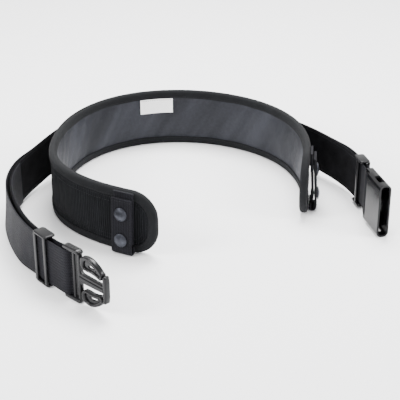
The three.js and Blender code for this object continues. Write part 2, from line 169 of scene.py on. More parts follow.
class Outline:
    """The padded sleeve's edge laid flat: a rectangle with round corners, walked all round."""

    def __init__(self, length, height, radius):
        self.length, self.height, self.radius = length, height, radius

    def edge_distance(self, s, z):
        """How far inside the edge a point is."""
        past_s = np.abs(s - self.length / 2) - (self.length / 2 - self.radius)
        past_z = np.abs(z - self.height / 2) - (self.height / 2 - self.radius)
        corner = np.hypot(np.maximum(past_s, 0), np.maximum(past_z, 0))
        return self.radius - corner - np.minimum(np.maximum(past_s, past_z), 0)

    def half_height(self, s):
        """Half the outline's height at a distance along it."""
        cut = np.maximum(0, self.radius - np.minimum(s, self.length - s))
        return self.height / 2 - self.radius + np.sqrt(np.maximum(self.radius**2 - cut**2, 0))

    def walk(self, inset, spacing):
        """Points (s, z) evenly spaced along the outline moved in by inset, with inward directions."""
        radius = self.radius - inset
        left, right = self.radius, self.length - self.radius
        low, high = self.radius, self.height - self.radius
        corners = [(right, low, -90), (right, high, 0), (left, high, 90), (left, low, 180)]
        fine = []
        for s, z, start in corners:
            for turn in np.radians(np.linspace(start, start + 90, 46)):
                fine.append((s + radius * cos(turn), z + radius * sin(turn), -cos(turn), -sin(turn)))
        fine.append(fine[0])
        fine = np.array(fine)
        lengths = np.concatenate([[0], np.cumsum(np.hypot(*np.diff(fine[:, :2], axis=0).T))])
        count = round(lengths[-1] / spacing)
        at = np.arange(count) * lengths[-1] / count
        walked = np.stack([np.interp(at, lengths, column) for column in fine.T], -1)
        return at, walked[:, :2], walked[:, 2:]


# ---- meshes ----
def make(name, points, faces, material, flat=None, sharp=40):
    """A mesh object whose faces point out, smooth up to an angle, with its flat coordinates kept."""
    mesh = bpy.data.meshes.new(name)
    mesh.from_pydata(np.asarray(points, float).reshape(-1, 3).tolist(), [], faces)
    worker = bmesh.new()
    worker.from_mesh(mesh)
    bmesh.ops.recalc_face_normals(worker, faces=worker.faces)
    worker.to_mesh(mesh)
    worker.free()
    mesh.shade_smooth()
    mesh.set_sharp_from_angle(angle=radians(sharp))
    if flat is not None:
        kept = mesh.attributes.new("flat", "FLOAT_VECTOR", "POINT")
        kept.data.foreach_set("vector", np.asarray(flat, np.float32).reshape(-1))
    mesh.materials.append(material)
    piece = bpy.data.objects.new(name, mesh)
    bpy.context.scene.collection.objects.link(piece)
    return piece


def loft_faces(count, around, close=False, offset=0):
    """Faces between rings of points, with end caps unless the last ring joins the first."""
    ring = np.arange(count if close else count - 1)[:, None]
    spoke = np.arange(around)[None, :]
    following, beside = (ring + 1) % count, (spoke + 1) % around
    corners = [
        ring * around + spoke,
        ring * around + beside,
        following * around + beside,
        following * around + spoke,
    ]
    faces = (np.stack(corners, -1).reshape(-1, 4) + offset).tolist()
    if not close:
        faces.append([offset + i for i in reversed(range(around))])
        faces.append([offset + (count - 1) * around + i for i in range(around)])
    return faces


def strap_section(inner, outer, low, high, rows=9, edge_rows=3):
    """Points (across, along the width) round a flat strap's section, its edges rounded."""
    radius = (outer - inner) / 2
    middle = (outer + inner) / 2
    heights = np.linspace(low + radius, high - radius, rows)
    turn = np.linspace(0, pi, edge_rows + 2)[1:-1]
    top = np.stack([middle + radius * np.cos(turn), high - radius + radius * np.sin(turn)], -1)
    bottom = np.stack([middle - radius * np.cos(turn), low + radius - radius * np.sin(turn)], -1)
    face = np.stack([np.full(rows, outer), heights], -1)
    back = np.stack([np.full(rows, inner), heights[::-1]], -1)
    return np.concatenate([face, top, back, bottom])


def evenly(line, spacing):
    """A polyline's points moved to an even spacing, with the distance along it of each."""
    line = np.asarray(line, float)
    lengths = np.concatenate([[0], np.cumsum(np.linalg.norm(np.diff(line, axis=0), axis=1))])
    at = np.linspace(0, lengths[-1], max(2, round(lengths[-1] / spacing) + 1))
    return np.stack([np.interp(at, lengths, column) for column in line.T], -1), at


def soften(line, passes):
    """A polyline with its corners rounded by averaging, its ends kept."""
    for _ in range(passes):
        line = np.concatenate([line[:1], (line[:-2] + 2 * line[1:-1] + line[2:]) / 4, line[-1:]])
    return line


def side_normals(line):
    """Directions square to a line in a plane, to its left all along."""
    along = np.gradient(line, axis=0)
    along /= np.linalg.norm(along, axis=1)[:, None]
    return np.stack([-along[:, 1], along[:, 0]], -1)


def flat_strip(name, run, start, end, section, material, spacing=3 * MM, lift=None, shift=None):
    """A strip with a constant section (outward, up), bent along a run."""
    s = np.linspace(start, end, max(2, round((end - start) / spacing)))
    out = section[None, :, 0] + (shift(s)[:, None] if shift else 0)
    z = section[None, :, 1] + (lift(s)[:, None] if lift else 0)
    flat = np.stack(np.broadcast_arrays(s[:, None], out, z), -1)
    return make(name, run.bend(flat), loft_faces(len(s), len(section)), material, flat)


def lathe(name, profile, material, place, segments=48):
    """A turned piece: (radius, height) points, closed on the axis, sent to its place by a function."""
    turn = np.arange(segments) * tau / segments
    rings = []
    for radius, height in profile[1:-1]:
        ring = np.stack([radius * np.cos(turn), np.full(segments, height), radius * np.sin(turn)], -1)
        rings.append(ring)
    points = np.concatenate(rings + [[(0, profile[0][1], 0), (0, profile[-1][1], 0)]])
    faces = loft_faces(len(rings), segments)[:-2]
    first, last = len(points) - 2, len(points) - 1
    top = (len(rings) - 1) * segments
    for i in range(segments):
        following = (i + 1) % segments
        faces.append([first, following, i])
        faces.append([last, top + i, top + following])
    return make(name, place(points), faces, material, points, sharp=35)


def plate(name, outlines, thickness, bevel, material, place, sharp=40):
    """A plate cut from outlines (along, up), the later ones holes, with rounded edges."""
    curve = bpy.data.curves.new(name, "CURVE")
    curve.dimensions = "2D"
    curve.fill_mode = "BOTH"
    curve.extrude = thickness / 2 - bevel
    curve.bevel_depth = bevel
    curve.offset = -bevel
    curve.bevel_resolution = 3
    for outline in outlines:
        spline = curve.splines.new("POLY")
        spline.points.add(len(outline) - 1)
        for point, (x, z) in zip(spline.points, outline):
            point.co = (x, z, 0, 1)
        spline.use_cyclic_u = True
    holder = bpy.data.objects.new(name, curve)
    bpy.context.scene.collection.objects.link(holder)
    bpy.context.view_layer.update()
    solid = holder.evaluated_get(bpy.context.evaluated_depsgraph_get()).to_mesh()
    points = np.array([v.co for v in solid.vertices])
    faces = [list(face.vertices) for face in solid.polygons]
    holder.to_mesh_clear()
    bpy.data.objects.remove(holder)
    bpy.data.curves.remove(curve)
    local = np.stack([points[:, 0], points[:, 2], points[:, 1]], -1)
    piece = make(name, place(local), faces, material, local, sharp)
    worker = bmesh.new()
    worker.from_mesh(piece.data)
    bmesh.ops.remove_doubles(worker, verts=worker.verts, dist=0.01 * MM)
    bmesh.ops.recalc_face_normals(worker, faces=worker.faces)
    worker.to_mesh(piece.data)
    worker.free()
    piece.data.shade_smooth()
    piece.data.set_sharp_from_angle(angle=radians(sharp))
    return piece


def smooth_loop(points, count=96):
    """A closed curve through the points, as Catmull and Rom draw it."""
    points = np.asarray(points, float)
    total = len(points)
    made = []
    for k in range(count):
        i, t = divmod(k * total / count, 1)
        a, b, c, d = (points[(int(i) + shift) % total] for shift in (-1, 0, 1, 2))
        curve = 2 * b + (c - a) * t + (2 * a - 5 * b + 4 * c - d) * t**2
        made.append((curve + (3 * b - a - 3 * c + d) * t**3) / 2)
    return np.array(made)


def round_corners(points, radius, steps=5):
    """A closed polygon with each corner turned by an arc-like curve of about that radius."""
    points = np.asarray(points, float)
    made = []
    for before, here, after in zip(np.roll(points, 1, 0), points, np.roll(points, -1, 0)):
        back, on = before - here, after - here
        reach = min(radius, 0.45 * np.linalg.norm(back), 0.45 * np.linalg.norm(on))
        first = here + back / np.linalg.norm(back) * reach
        last = here + on / np.linalg.norm(on) * reach
        for t in np.linspace(0, 1, steps):
            made.append((1 - t) ** 2 * first + 2 * t * (1 - t) * here + t**2 * last)
    return np.array(made)


def rectangle(left, right, low, high, radius):
    """The outline of a rectangle with rounded corners."""
    return round_corners([(left, low), (right, low), (right, high), (left, high)], radius)


def standing(x, y, heading):
    """A placing function: local points (along, sideways, up) stood at x, y with a heading."""
    turn = radians(heading)

    def place(local):
        local = np.asarray(local, float)
        along, across = local[..., 0], local[..., 1]
        return np.stack([
            x + along * cos(turn) - across * sin(turn),
            y + along * sin(turn) + across * cos(turn),
            local[..., 2],
        ], -1)

    return place


def standing_on(run, s, heading=None):
    """A placing function for a spot on a run, turned along it unless a heading is given."""
    x, y, angle = run.at(s)
    return standing(float(x), float(y), float(np.degrees(angle)) if heading is None else heading)


def stitches(name, seams, material, length=2.7 * MM, thick=0.5 * MM):
    """Thread stitches lying along seams; a seam gives middles, directions and outward normals."""
    around, rings = 6, 5
    along = np.linspace(-1, 1, rings)
    girth = np.sqrt(1 - (0.96 * along) ** 2)
    turn = np.arange(around) * tau / around
    points, faces = [], []
    for middles, directions, normals in seams:
        sides = np.cross(directions, normals)
        for middle, direction, normal, side in zip(middles, directions, normals, sides):
            start = len(points) * around * rings
            body = (
                middle
                + along[:, None, None] * direction * length / 2
                + girth[:, None, None] * thick / 2 * (
                    np.cos(turn)[None, :, None] * normal + np.sin(turn)[None, :, None] * side
                )
            )
            points.append(body)
            faces += loft_faces(rings, around, offset=start)
    return make(name, np.concatenate([p.reshape(-1, 3) for p in points]), faces, material)


def seam_on_run(run, flat_points, towards):
    """A seam from flat points (s, out, z): bent, with directions along it and normals facing out."""
    bent = run.bend(flat_points)
    ahead = np.roll(bent, -1, 0) - np.roll(bent, 1, 0)
    ahead[0] = bent[1] - bent[0]
    ahead[-1] = bent[-1] - bent[-2]
    ahead /= np.linalg.norm(ahead, axis=1)[:, None]
    lifted = flat_points + np.array([0, towards, 0])
    normals = run.bend(lifted) - bent
    normals /= np.linalg.norm(normals, axis=1)[:, None]
    return bent, ahead, normals


def stand_for(nodes):
    """Hides the frame nodes that a piece stands for, if there are any."""
    if nodes:
        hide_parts(*nodes)


def settle(piece, body, slot, *nodes):
    """Rides a piece on a body."""
    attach(piece, body)
    stand_for(nodes)


def flex(piece, bodies, start, end, slot, *nodes):
    """Bakes a piece's placing into its mesh and hides the frame nodes it stands for. The bodies, start
    and end are not used.
    """
    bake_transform(piece)
    stand_for(nodes)


# ---- shader maths ----
class Wire:
    """A socket in a material's node tree. Arithmetic on wires adds Math nodes."""

    def __init__(self, tree, socket=None):
        self.tree = tree
        self.socket = socket

    def node(self, kind, settings=None, inputs=None, output=0):
        """Adds a node, sets its settings, then the values or wires of its inputs."""
        made = self.tree.nodes.new(kind)
        for key, value in (settings or {}).items():
            setattr(made, key, value)
        for key, value in (inputs or {}).items():
            if isinstance(value, Wire):
                self.tree.links.new(value.socket, made.inputs[key])
            else:
                made.inputs[key].default_value = value
        return Wire(self.tree, made.outputs[output])

    def math(self, operation, first, second=0.0):
        """A Math node on wires or numbers."""
        return self.node("ShaderNodeMath", {"operation": operation}, {0: first, 1: second})

    def __add__(self, other):
        return self.math("ADD", self, other)

    def __sub__(self, other):
        return self.math("SUBTRACT", self, other)

    def __mul__(self, other):
        return self.math("MULTIPLY", self, other)

    def __rsub__(self, other):
        return self.math("SUBTRACT", other, self)

    __radd__ = __add__
    __rmul__ = __mul__

    def sine(self):
        return self.math("SINE", self)

    def between(self, low, high):
        """0 at low and 1 at high, held past them."""
        span = {"From Min": low, "From Max": high}
        return self.node("ShaderNodeMapRange", {"clamp": True}, {"Value": self, **span})

    def mix(self, first, second):
        """Two colours mixed by this wire."""
        sockets = {"Factor": self, 6: first, 7: second}
        return self.node("ShaderNodeMix", {"data_type": "RGBA"}, sockets, output=2)

    def noise(self, coordinates, scale, detail=3.0, rough=0.55):
        """A noise over the given coordinates, about 0.5 in the middle."""
        settings = {"Vector": coordinates, "Scale": scale, "Detail": detail, "Roughness": rough}
        return self.node("ShaderNodeTexNoise", {}, settings)


def tinted(colour, factor):
    """A colour made darker or paler, with its alpha."""
    return tuple(min(1.0, c * factor) for c in colour) + (1.0,)


def shaded(tone, span, colour, tints):
    """A colour times the first tint where the tone is low and the second where it is high."""
    return tone.between(*span).mix(*(tinted(colour, tint) for tint in tints))


def flat_axes(wire):
    """The cloth's own coordinates, and those along and across it."""
    flat = wire.node("ShaderNodeAttribute", {"attribute_name": "flat"}, {}, output=1)
    along, across = (
        wire.node("ShaderNodeSeparateXYZ", {}, {"Vector": flat}, output=axis) for axis in (0, 2)
    )
    return flat, along, across


def own_axes(wire):
    """The coordinates of the piece itself, for finishes that are not cloth."""
    return wire.node("ShaderNodeTexCoord", output=3)


def ribs(distance, pitch):
    """A wave that goes from 0 to 1 and back once per pitch."""
    return (distance * (tau / pitch)).sine() * 0.5 + 0.5


# Each finish returns its colour, its roughness, the height of its relief and the relief's depth.
def outer_fabric(wire, colour):
    """Heavy black cloth with upright ribs, a fine thread across them and a dusty, worn tone."""
    flat, along, across = flat_axes(wire)
    rib = ribs(along + wire.noise(flat, 60.0) * (0.4 * MM), 2.6 * MM)
    thread = ribs(across, 0.9 * MM)
    stretched = {0: flat, 1: (260.0, 0.0, 18.0)}
    uneven = wire.node("ShaderNodeVectorMath", {"operation": "MULTIPLY"}, stretched)
    band = wire.noise(uneven, 1.0, 2.0)
    worn = wire.noise(flat, 45.0, 4.0)
    colours = shaded(rib * 0.45 + thread * 0.15 + band * 0.5, (0.2, 0.9), colour, (0.3, 2.0))
    faded = worn.between(0.45, 0.75) * 0.4
    colours = faded.mix(colours, tinted(colour, 2.2))
    return colours, 0.72 + worn * 0.2, rib * 0.8 + thread * 0.2 + band * 0.4, 0.6 * MM


def lining_fabric(wire, colour):
    """Slate lining cloth: plain fine weave, a slight sheen and soft slanting bands of painted light and
    shade that stand for wrinkles.
    """
    flat, along, across = flat_axes(wire)
    slant = wire.node("ShaderNodeCombineXYZ", {}, {"X": along * 34 - across * 22, "Z": across * 6})
    painted_wrinkle_light = wire.noise(slant, 1.0, 2.0)
    weave = ribs(along, 0.8 * MM) * ribs(across, 0.8 * MM)
    dust = wire.noise(flat, 300.0, 4.0)
    # painted light and shade: the slanting bands make the lining paler and darker as lit wrinkles
    # would; the fine dust is the cloth's own uneven tone
    colours = shaded(painted_wrinkle_light * 0.75 + dust * 0.25, (0.34, 0.66), colour, (0.62, 1.4))
    return colours, 0.42 + dust * 0.2, weave * 0.6 + dust * 0.4, 0.12 * MM


def binding_tape(wire, colour):
    """Grosgrain tape: close ribs across its length."""
    flat, along, _ = flat_axes(wire)
    rib = ribs(along, 1.3 * MM)
    worn = wire.noise(flat, 70.0, 4.0)
    colours = shaded(rib * 0.4 + worn * 0.6, (0.25, 0.8), colour, (0.55, 1.35))
    return colours, 0.62 + worn * 0.25, rib + worn * 0.4, 0.3 * MM


def webbing_cloth(wire, colour):
    """Strong web: a ladder of short yarns across, in rows along the strap, with bands across it of
    painted light and shade that stand for fold lines.
    """
    flat, along, across = flat_axes(wire)
    row = ribs(across, 3.1 * MM)
    sway = row.between(0.4, 0.6) * (0.9 * MM)
    yarn = ribs(along + sway, 1.8 * MM)
    worn = wire.noise(flat, 60.0, 4.0)
    painted_fold_shade_place = wire.node("ShaderNodeCombineXYZ", {}, {"X": along * 90, "Z": across * 12})
    # painted light and shade: noise bands across the web, paler and darker as lit fold lines would be;
    # the worn noise is the web's own uneven tone
    tone = yarn * 0.3 + row * 0.2 + worn * 0.3 + wire.noise(painted_fold_shade_place, 1.0, 2.0) * 0.4
    colours = shaded(tone, (0.3, 0.85), colour, (0.4, 1.9))
    return colours, 0.55 + worn * 0.25, yarn * 0.7 + row * 0.5, 0.35 * MM


def pile(wire, colour):
    """Hook-and-loop pile: a deep black nap with tufts."""
    flat, _, _ = flat_axes(wire)
    tuft = wire.noise(flat, 900.0, 3.0, 0.7)
    crush = wire.noise(flat, 55.0, 3.0)
    colours = shaded(tuft * 0.5 + crush * 0.5, (0.35, 0.7), colour, (0.5, 1.7))
    return colours, 0.88 + crush * 0.1, tuft, 0.6 * MM


def foam_block(wire, colour):
    """Closed-cell foam with pores."""
    flat, _, _ = flat_axes(wire)
    cell = wire.node("ShaderNodeTexVoronoi", {}, {"Vector": flat, "Scale": 900.0})
    return shaded(cell, (0.1, 0.7), colour, (0.6, 1.1)), 0.85 + cell * 0.1, cell, 0.2 * MM


def label_cloth(wire, colour):
    """White satin label with a fine weave and no lettering."""
    flat, along, across = flat_axes(wire)
    weave = ribs(along, 0.5 * MM) * ribs(across, 0.7 * MM)
    soil = wire.noise(flat, 120.0, 3.0)
    colours = shaded(weave * 0.3 + soil * 0.7, (0.2, 0.8), colour, (0.9, 1.05))
    return colours, 0.5 + soil * 0.15, weave, 0.08 * MM


def thread_yarn(wire, colour):
    """Bonded sewing thread with a twist."""
    strand = wire.noise(own_axes(wire), 2500.0, 2.0)
    colours = shaded(strand, (0.35, 0.65), colour, (0.7, 1.4))
    return colours, 0.5 + strand * 0.2, strand, 0.05 * MM


def moulded_plastic(wire, colour):
    """Glossy moulded plastic with a faint orange peel, handling marks and paler rubbed spots."""
    place = own_axes(wire)
    peel = wire.noise(place, 700.0, 2.0)
    rub = wire.noise(place, 90.0, 4.0)
    return shaded(rub, (0.4, 0.75), colour, (0.8, 1.8)), 0.14 + rub * 0.16, peel, 0.05 * MM


def gunmetal(wire, colour):
    """Blackened snap metal, brushed by use, with brighter scuffs."""
    place = own_axes(wire)
    scuff = wire.noise(place, 260.0, 5.0, 0.7)
    grain = wire.noise(place, 1800.0, 2.0)
    return shaded(scuff, (0.45, 0.7), colour, (0.85, 1.35)), 0.28 + scuff * 0.2, grain, 0.03 * MM


def pale_floor(wire, colour):
    """The studio's pale floor, with a barely uneven tone."""
    tone = wire.noise(own_axes(wire), 3.0, 2.0)
    colours = tone.mix(tinted(colour, 0.995), tinted(colour, 1.005))
    return colours, 0.85 + tone * 0.05, tone, 0.01 * MM


SHEEN = "Sheen Weight"
GLOSS = "Specular IOR Level"
FINISHES = {
    "outer_fabric": (outer_fabric, "outer_colour", {SHEEN: 0.012, GLOSS: 0.06}),
    "lining_fabric": (lining_fabric, "lining_colour", {SHEEN: 0.02, GLOSS: 0.12}),
    "binding_tape": (binding_tape, "binding_colour", {SHEEN: 0.015, GLOSS: 0.1}),
    "webbing": (webbing_cloth, "webbing_colour", {SHEEN: 0.02, GLOSS: 0.08}),
    "hook_and_loop_pile": (pile, "pile_colour", {SHEEN: 0.005, GLOSS: 0.03}),
    "foam": (foam_block, "foam_colour", {}),
    "label_cloth": (label_cloth, "label_colour", {SHEEN: 0.1}),
    "sewing_thread": (thread_yarn, "thread_colour", {GLOSS: 0.15}),
    "moulded_plastic": (moulded_plastic, "plastic_colour",
                        {"Coat Weight": 0.2, "Coat Roughness": 0.05, GLOSS: 0.12}),
    "snap_metal": (gunmetal, "metal_colour", {"Metallic": 0.9}),
    "pale_floor": (pale_floor, "floor_colour", {GLOSS: 0.1}),
}


def finish_of(name):
    """The named material, made when first asked for, under a name that the frame leaves free."""
    finish = f"{name}_finish"
    if finish in bpy.data.materials:
        return bpy.data.materials[finish]
    pattern, colour, constants = FINISHES[name]
    material = bpy.data.materials.new(finish)
    material.use_nodes = True
    tree = material.node_tree
    shader = tree.nodes["Principled BSDF"]
    for key, value in constants.items():
        shader.inputs[key].default_value = value
    wire = Wire(tree)
    colours, rough, height, depth = pattern(wire, getattr(bpy.context.scene.belt_colours, colour))
    relief = {"Height": height, "Strength": 1.0, "Distance": depth}
    bump = wire.node("ShaderNodeBump", {}, relief)
    for key, value in (("Base Color", colours), ("Roughness", rough), ("Normal", bump)):
        tree.links.new(value.socket, shader.inputs[key])
    return material


# ---- settings ----
def size_of(label, text, default):
    return FloatProperty(name=label, description=text, default=default, unit="LENGTH")


def colour_of(label, text, shown):
    return FloatVectorProperty(name=label, description=text, default=linear(*shown),
                               size=3, min=0, max=1, subtype="COLOR")


class BELT_PG_sizes(bpy.types.PropertyGroup):
    """Sizes that a maker of the belt would change."""

    pad_height: size_of("Pad height", "Height of the padded sleeve", 72.5 * MM)
    pad_thickness: size_of("Pad thickness", "Thickness over the binding", 9 * MM)
    corner_radius: size_of("Corner radius", "Radius of the sleeve's ends", 30 * MM)
    binding_leg: size_of("Binding leg", "How far the binding reaches in", 9.5 * MM)
    first_seam: size_of("First seam", "Seam's distance from the edge", 11.6 * MM)
    second_seam: size_of("Second seam", "Second seam's distance from the edge", 16.4 * MM)
    stitch_pitch: size_of("Stitch pitch", "From one stitch to the next", 3.6 * MM)
    keeper_width: size_of("Keeper width", "Width of a keeper strap", 25 * MM)
    snap_radius: size_of("Snap radius", "Radius of a snap's cap", 7.5 * MM)
    strap_lean: size_of("Strap lean", "How far the left strap's foot stands out", 4 * MM)


class BELT_PG_colours(bpy.types.PropertyGroup):
    """Colours of the belt's finishes."""

    outer_colour: colour_of("Outer cloth", "Ribbed cloth of the sleeve", (17, 18, 20))
    lining_colour: colour_of("Lining", "Slate lining cloth", (40, 41, 46))
    binding_colour: colour_of("Binding", "Grosgrain edge tape", (22, 23, 25))
    webbing_colour: colour_of("Webbing", "Belt web and keepers", (18, 18, 22))
    pile_colour: colour_of("Pile", "Hook-and-loop face", (21, 21, 23))
    foam_colour: colour_of("Foam", "Foam in the sleeve", (60, 60, 62))
    label_colour: colour_of("Label", "Blank cloth label", (250, 250, 249))
    thread_colour: colour_of("Thread", "Sewing thread", (26, 26, 29))
    plastic_colour: colour_of("Plastic", "Buckle and sliders", (11, 11, 13))
    metal_colour: colour_of("Snap metal", "Snap caps and studs", (70, 72, 79))
    floor_colour: colour_of("Floor", "Studio floor", (252, 252, 253))


def sizes():
    """The sizes that the sidebar shows."""
    return bpy.context.scene.belt_sizes


def pad_outline():
    """The sleeve's edge at its present sizes."""
    return Outline(PAD_RUN.length, sizes().pad_height, sizes().corner_radius)


# ---- the padded sleeve ----
COVER_FACE = 3 * MM  # the cover's and lining's faces, from the sleeve's mid-plane
CLOTH = 0.8 * MM
MOST_FULL = 4.2 * MM  # where the face of full padding stands, from the mid-plane
END_COLUMNS, MIDDLE_COLUMNS, GRID_ROWS = 13, 237, 25
CLOTH_FRAMES = 20
SEAM_DENT = 0.7 * MM  # how deep a seam pulls the cover in
SEAM_REACH = 1.3 * MM
LINING_DENT = 0.3 * MM
LINING_REACH = 1.5 * MM
CREASE = 0.22 * MM
CREASE_SLANT = 0.55


def sleeve_grid():
    """Even rows and columns over the sleeve laid flat, closer together in the rounded ends."""
    outline = pad_outline()
    inset = 1.5 * MM
    radius = sizes().corner_radius
    end = inset + (radius - inset) * (1 - np.cos(np.linspace(0, pi / 2, END_COLUMNS)))
    middle = np.linspace(radius, outline.length - radius, MIDDLE_COLUMNS)[1:-1]
    s = np.concatenate([end, middle, (outline.length - end)[::-1]])
    v = np.linspace(-1, 1, GRID_ROWS)
    half = np.maximum(outline.half_height(s) - inset, 5 * MM)
    z = outline.height / 2 + half[:, None] * v[None, :]
    return np.broadcast_to(s[:, None], z.shape), z, outline


def grid_faces(rows, columns, offset=0, turned=False):
    """Four-sided faces of a grid of points, facing back if turned."""
    i = np.arange(rows - 1)[:, None] * columns + np.arange(columns - 1)[None, :] + offset
    corners = np.stack([i, i + 1, i + columns + 1, i + columns], -1).reshape(-1, 4)
    return (corners[:, ::-1] if turned else corners).tolist()


def rim_faces(rows, columns):
    """Faces that join two grids' borders, the second grid's points following the first's."""
    border = list(range(columns))
    border += [i * columns + columns - 1 for i in range(1, rows)]
    border += [(rows - 1) * columns + j for j in range(columns - 2, -1, -1)]
    border += [i * columns for i in range(rows - 2, 0, -1)]
    total = rows * columns
    pairs = zip(border, border[1:] + border[:1])
    return [[a, b, b + total, a + total] for a, b in pairs]


def shell(front, back):
    """Points and faces of a closed piece between two grids."""
    rows, columns = front.shape[:2]
    points = np.concatenate([front.reshape(-1, 3), back.reshape(-1, 3)])
    faces = grid_faces(rows, columns)
    faces += grid_faces(rows, columns, rows * columns, turned=True)
    return points, faces + rim_faces(rows, columns)


def inflate(front, back, held):
    """Blows the sleeve's cloth up from inside, held where the binding grips it."""
    points, faces = shell(front, back)
    mesh = bpy.data.meshes.new("sleeve_cloth")
    mesh.from_pydata(points.tolist(), [], faces)
    cloth = bpy.data.objects.new("sleeve_cloth", mesh)
    scene = bpy.context.scene
    scene.collection.objects.link(cloth)
    pinned = cloth.vertex_groups.new(name="held")
    both = np.concatenate([held.reshape(-1), held.reshape(-1)])
    pinned.add(np.flatnonzero(both).tolist(), 1.0, "REPLACE")
    modifier = cloth.modifiers.new("cloth", "CLOTH")
    settings = modifier.settings
    settings.vertex_group_mass = "held"
    settings.use_pressure = True
    settings.uniform_pressure_force = 3.0
    settings.shrink_min = -0.035
    settings.bending_stiffness = 0.2
    settings.effector_weights.gravity = 0
    modifier.collision_settings.use_collision = False
    for number in range(1, CLOTH_FRAMES + 1):
        scene.frame_set(number)
    result = cloth.evaluated_get(bpy.context.evaluated_depsgraph_get()).to_mesh()
    moved = np.array([v.co for v in result.vertices])
    cloth.to_mesh_clear()
    bpy.data.objects.remove(cloth)
    scene.frame_set(1)
    half = len(moved) // 2
    return moved[:half].reshape(front.shape), moved[half:].reshape(back.shape)


def dent(away, seam, depth, reach):
    """How deep a seam pulls the cloth in, at each distance from the sleeve's edge."""
    return depth * np.exp(-(((away - seam) / reach) ** 2))


def sleeve_faces():
    """The sleeve's outer and inner cloth surfaces, flat, as grids of points."""
    s, z, outline = sleeve_grid()
    away = outline.edge_distance(s, z)
    grip = sizes().binding_leg - 0.5 * MM
    held = away < grip
    front = np.stack([s, np.full(s.shape, COVER_FACE), z], -1)
    back = front * [1, -1, 1]
    swell = (MOST_FULL - COVER_FACE) * ease(away, grip, grip + 9 * MM)
    blown_front, blown_back = inflate(front, back, held)
    for rest, blown, sign in ((front, blown_front, 1), (back, blown_back, -1)):
        rise = sign * (blown[..., 1] - rest[..., 1])
        usual = np.percentile(rise[~held], 90)
        share = np.clip(rise / max(usual, 0.1 * MM), -0.5, 1.15)
        rest[..., 1] += sign * swell.max() * share * ease(away, grip, grip + 5 * MM)
    under_belt = ease(s, LEFT_MOUTH - 26 * MM, LEFT_MOUTH - 6 * MM)
    under_belt = under_belt * (1 - ease(s, RIGHT_MOUTH + 6 * MM, RIGHT_MOUTH + 26 * MM))
    flattened = COVER_FACE + 0.1 * MM
    front[..., 1] += under_belt * (np.minimum(front[..., 1], flattened) - front[..., 1])
    for seam in (sizes().first_seam, sizes().second_seam):
        front[..., 1] -= dent(away, seam, SEAM_DENT, SEAM_REACH) * (1 - under_belt)
    back[..., 1] += dent(away, sizes().first_seam, LINING_DENT, LINING_REACH)
    slant = s - CREASE_SLANT * z
    creases = np.sin(slant / (5.2 * MM)) + np.sin(slant / (8.7 * MM) + 1.3) + np.sin(slant / (3.3 * MM))
    back[..., 1] -= CREASE * creases * ease(away, grip, grip + 8 * MM)
    return front, back


class BELT_OT_sleeve(bpy.types.Operator):
    """Make the sleeve's cover, lining and foam"""

    bl_idname = "belt.sleeve"
    bl_label = "Padded sleeve"

    def execute(self, context):
        front, back = sleeve_faces()
        inward = np.array([0, CLOTH, 0])
        gap = np.array([0, LAYER_GAP, 0])
        for name, face, under, slot, node in (
            ("sleeve_outer_cover", front, front - inward, "outer_fabric", "pad_outer_cover"),
            ("sleeve_lining", back, back + inward, "lining_fabric", "pad_inner_lining"),
        ):
            points, faces = shell(face, under)
            piece = make(name, PAD_RUN.bend(points), faces, finish_of(slot), points, sharp=60)
            settle(piece, "pad", slot, node)
        points, faces = shell(front - inward - gap, back + inward + gap)
        foam = make("sleeve_foam", PAD_RUN.bend(points), faces, finish_of("foam"), points, sharp=60)
        settle(foam, "pad", "foam", "pad_foam_core")
        return {"FINISHED"}


class BELT_OT_binding(bpy.types.Operator):
    """Fold the grosgrain binding over the sleeve's edge"""

    bl_idname = "belt.binding"
    bl_label = "Edge binding"

    def execute(self, context):
        face = sizes().pad_thickness / 2
        leg = sizes().binding_leg
        outer = [(leg, 3.35 * MM), (leg, face - 0.35 * MM), (leg - 0.6 * MM, face - 0.1 * MM),
                 (leg - 3 * MM, face), (4.6 * MM, face), (2.7 * MM, face - 0.2 * MM),
                 (1.2 * MM, face - 0.9 * MM), (0.35 * MM, face - 2.2 * MM), (0, 0.9 * MM)]
        inner = [(1.3 * MM, 2.1 * MM), (2.1 * MM, 3.25 * MM)]
        mirror = [(depth, -out) for depth, out in reversed(outer)]
        section = np.array(outer + mirror + [(d, -o) for d, o in reversed(inner)] + inner)
        along, edge, inward = pad_outline().walk(0, 2.6 * MM)
        depth, out = section.T
        wander = 0.25 * MM * np.sin(along / (17 * MM)) + 0.2 * MM * np.sin(along / (7.3 * MM))
        reach = depth[None, :] + wander[:, None] * (depth / leg)[None, :] ** 4
        s = edge[:, :1] + inward[:, :1] * reach
        z = edge[:, 1:] + inward[:, 1:] * reach
        points = np.stack([s, np.broadcast_to(out, s.shape), z], -1)
        flat = np.stack(np.broadcast_arrays(along[:, None], out[None, :], depth[None, :]), -1)
        faces = loft_faces(len(along), len(section), close=True)
        piece = make("edge_binding_tape", PAD_RUN.bend(points), faces, finish_of("binding_tape"), flat)
        settle(piece, "pad", "binding_tape", "edge_binding")
        return {"FINISHED"}


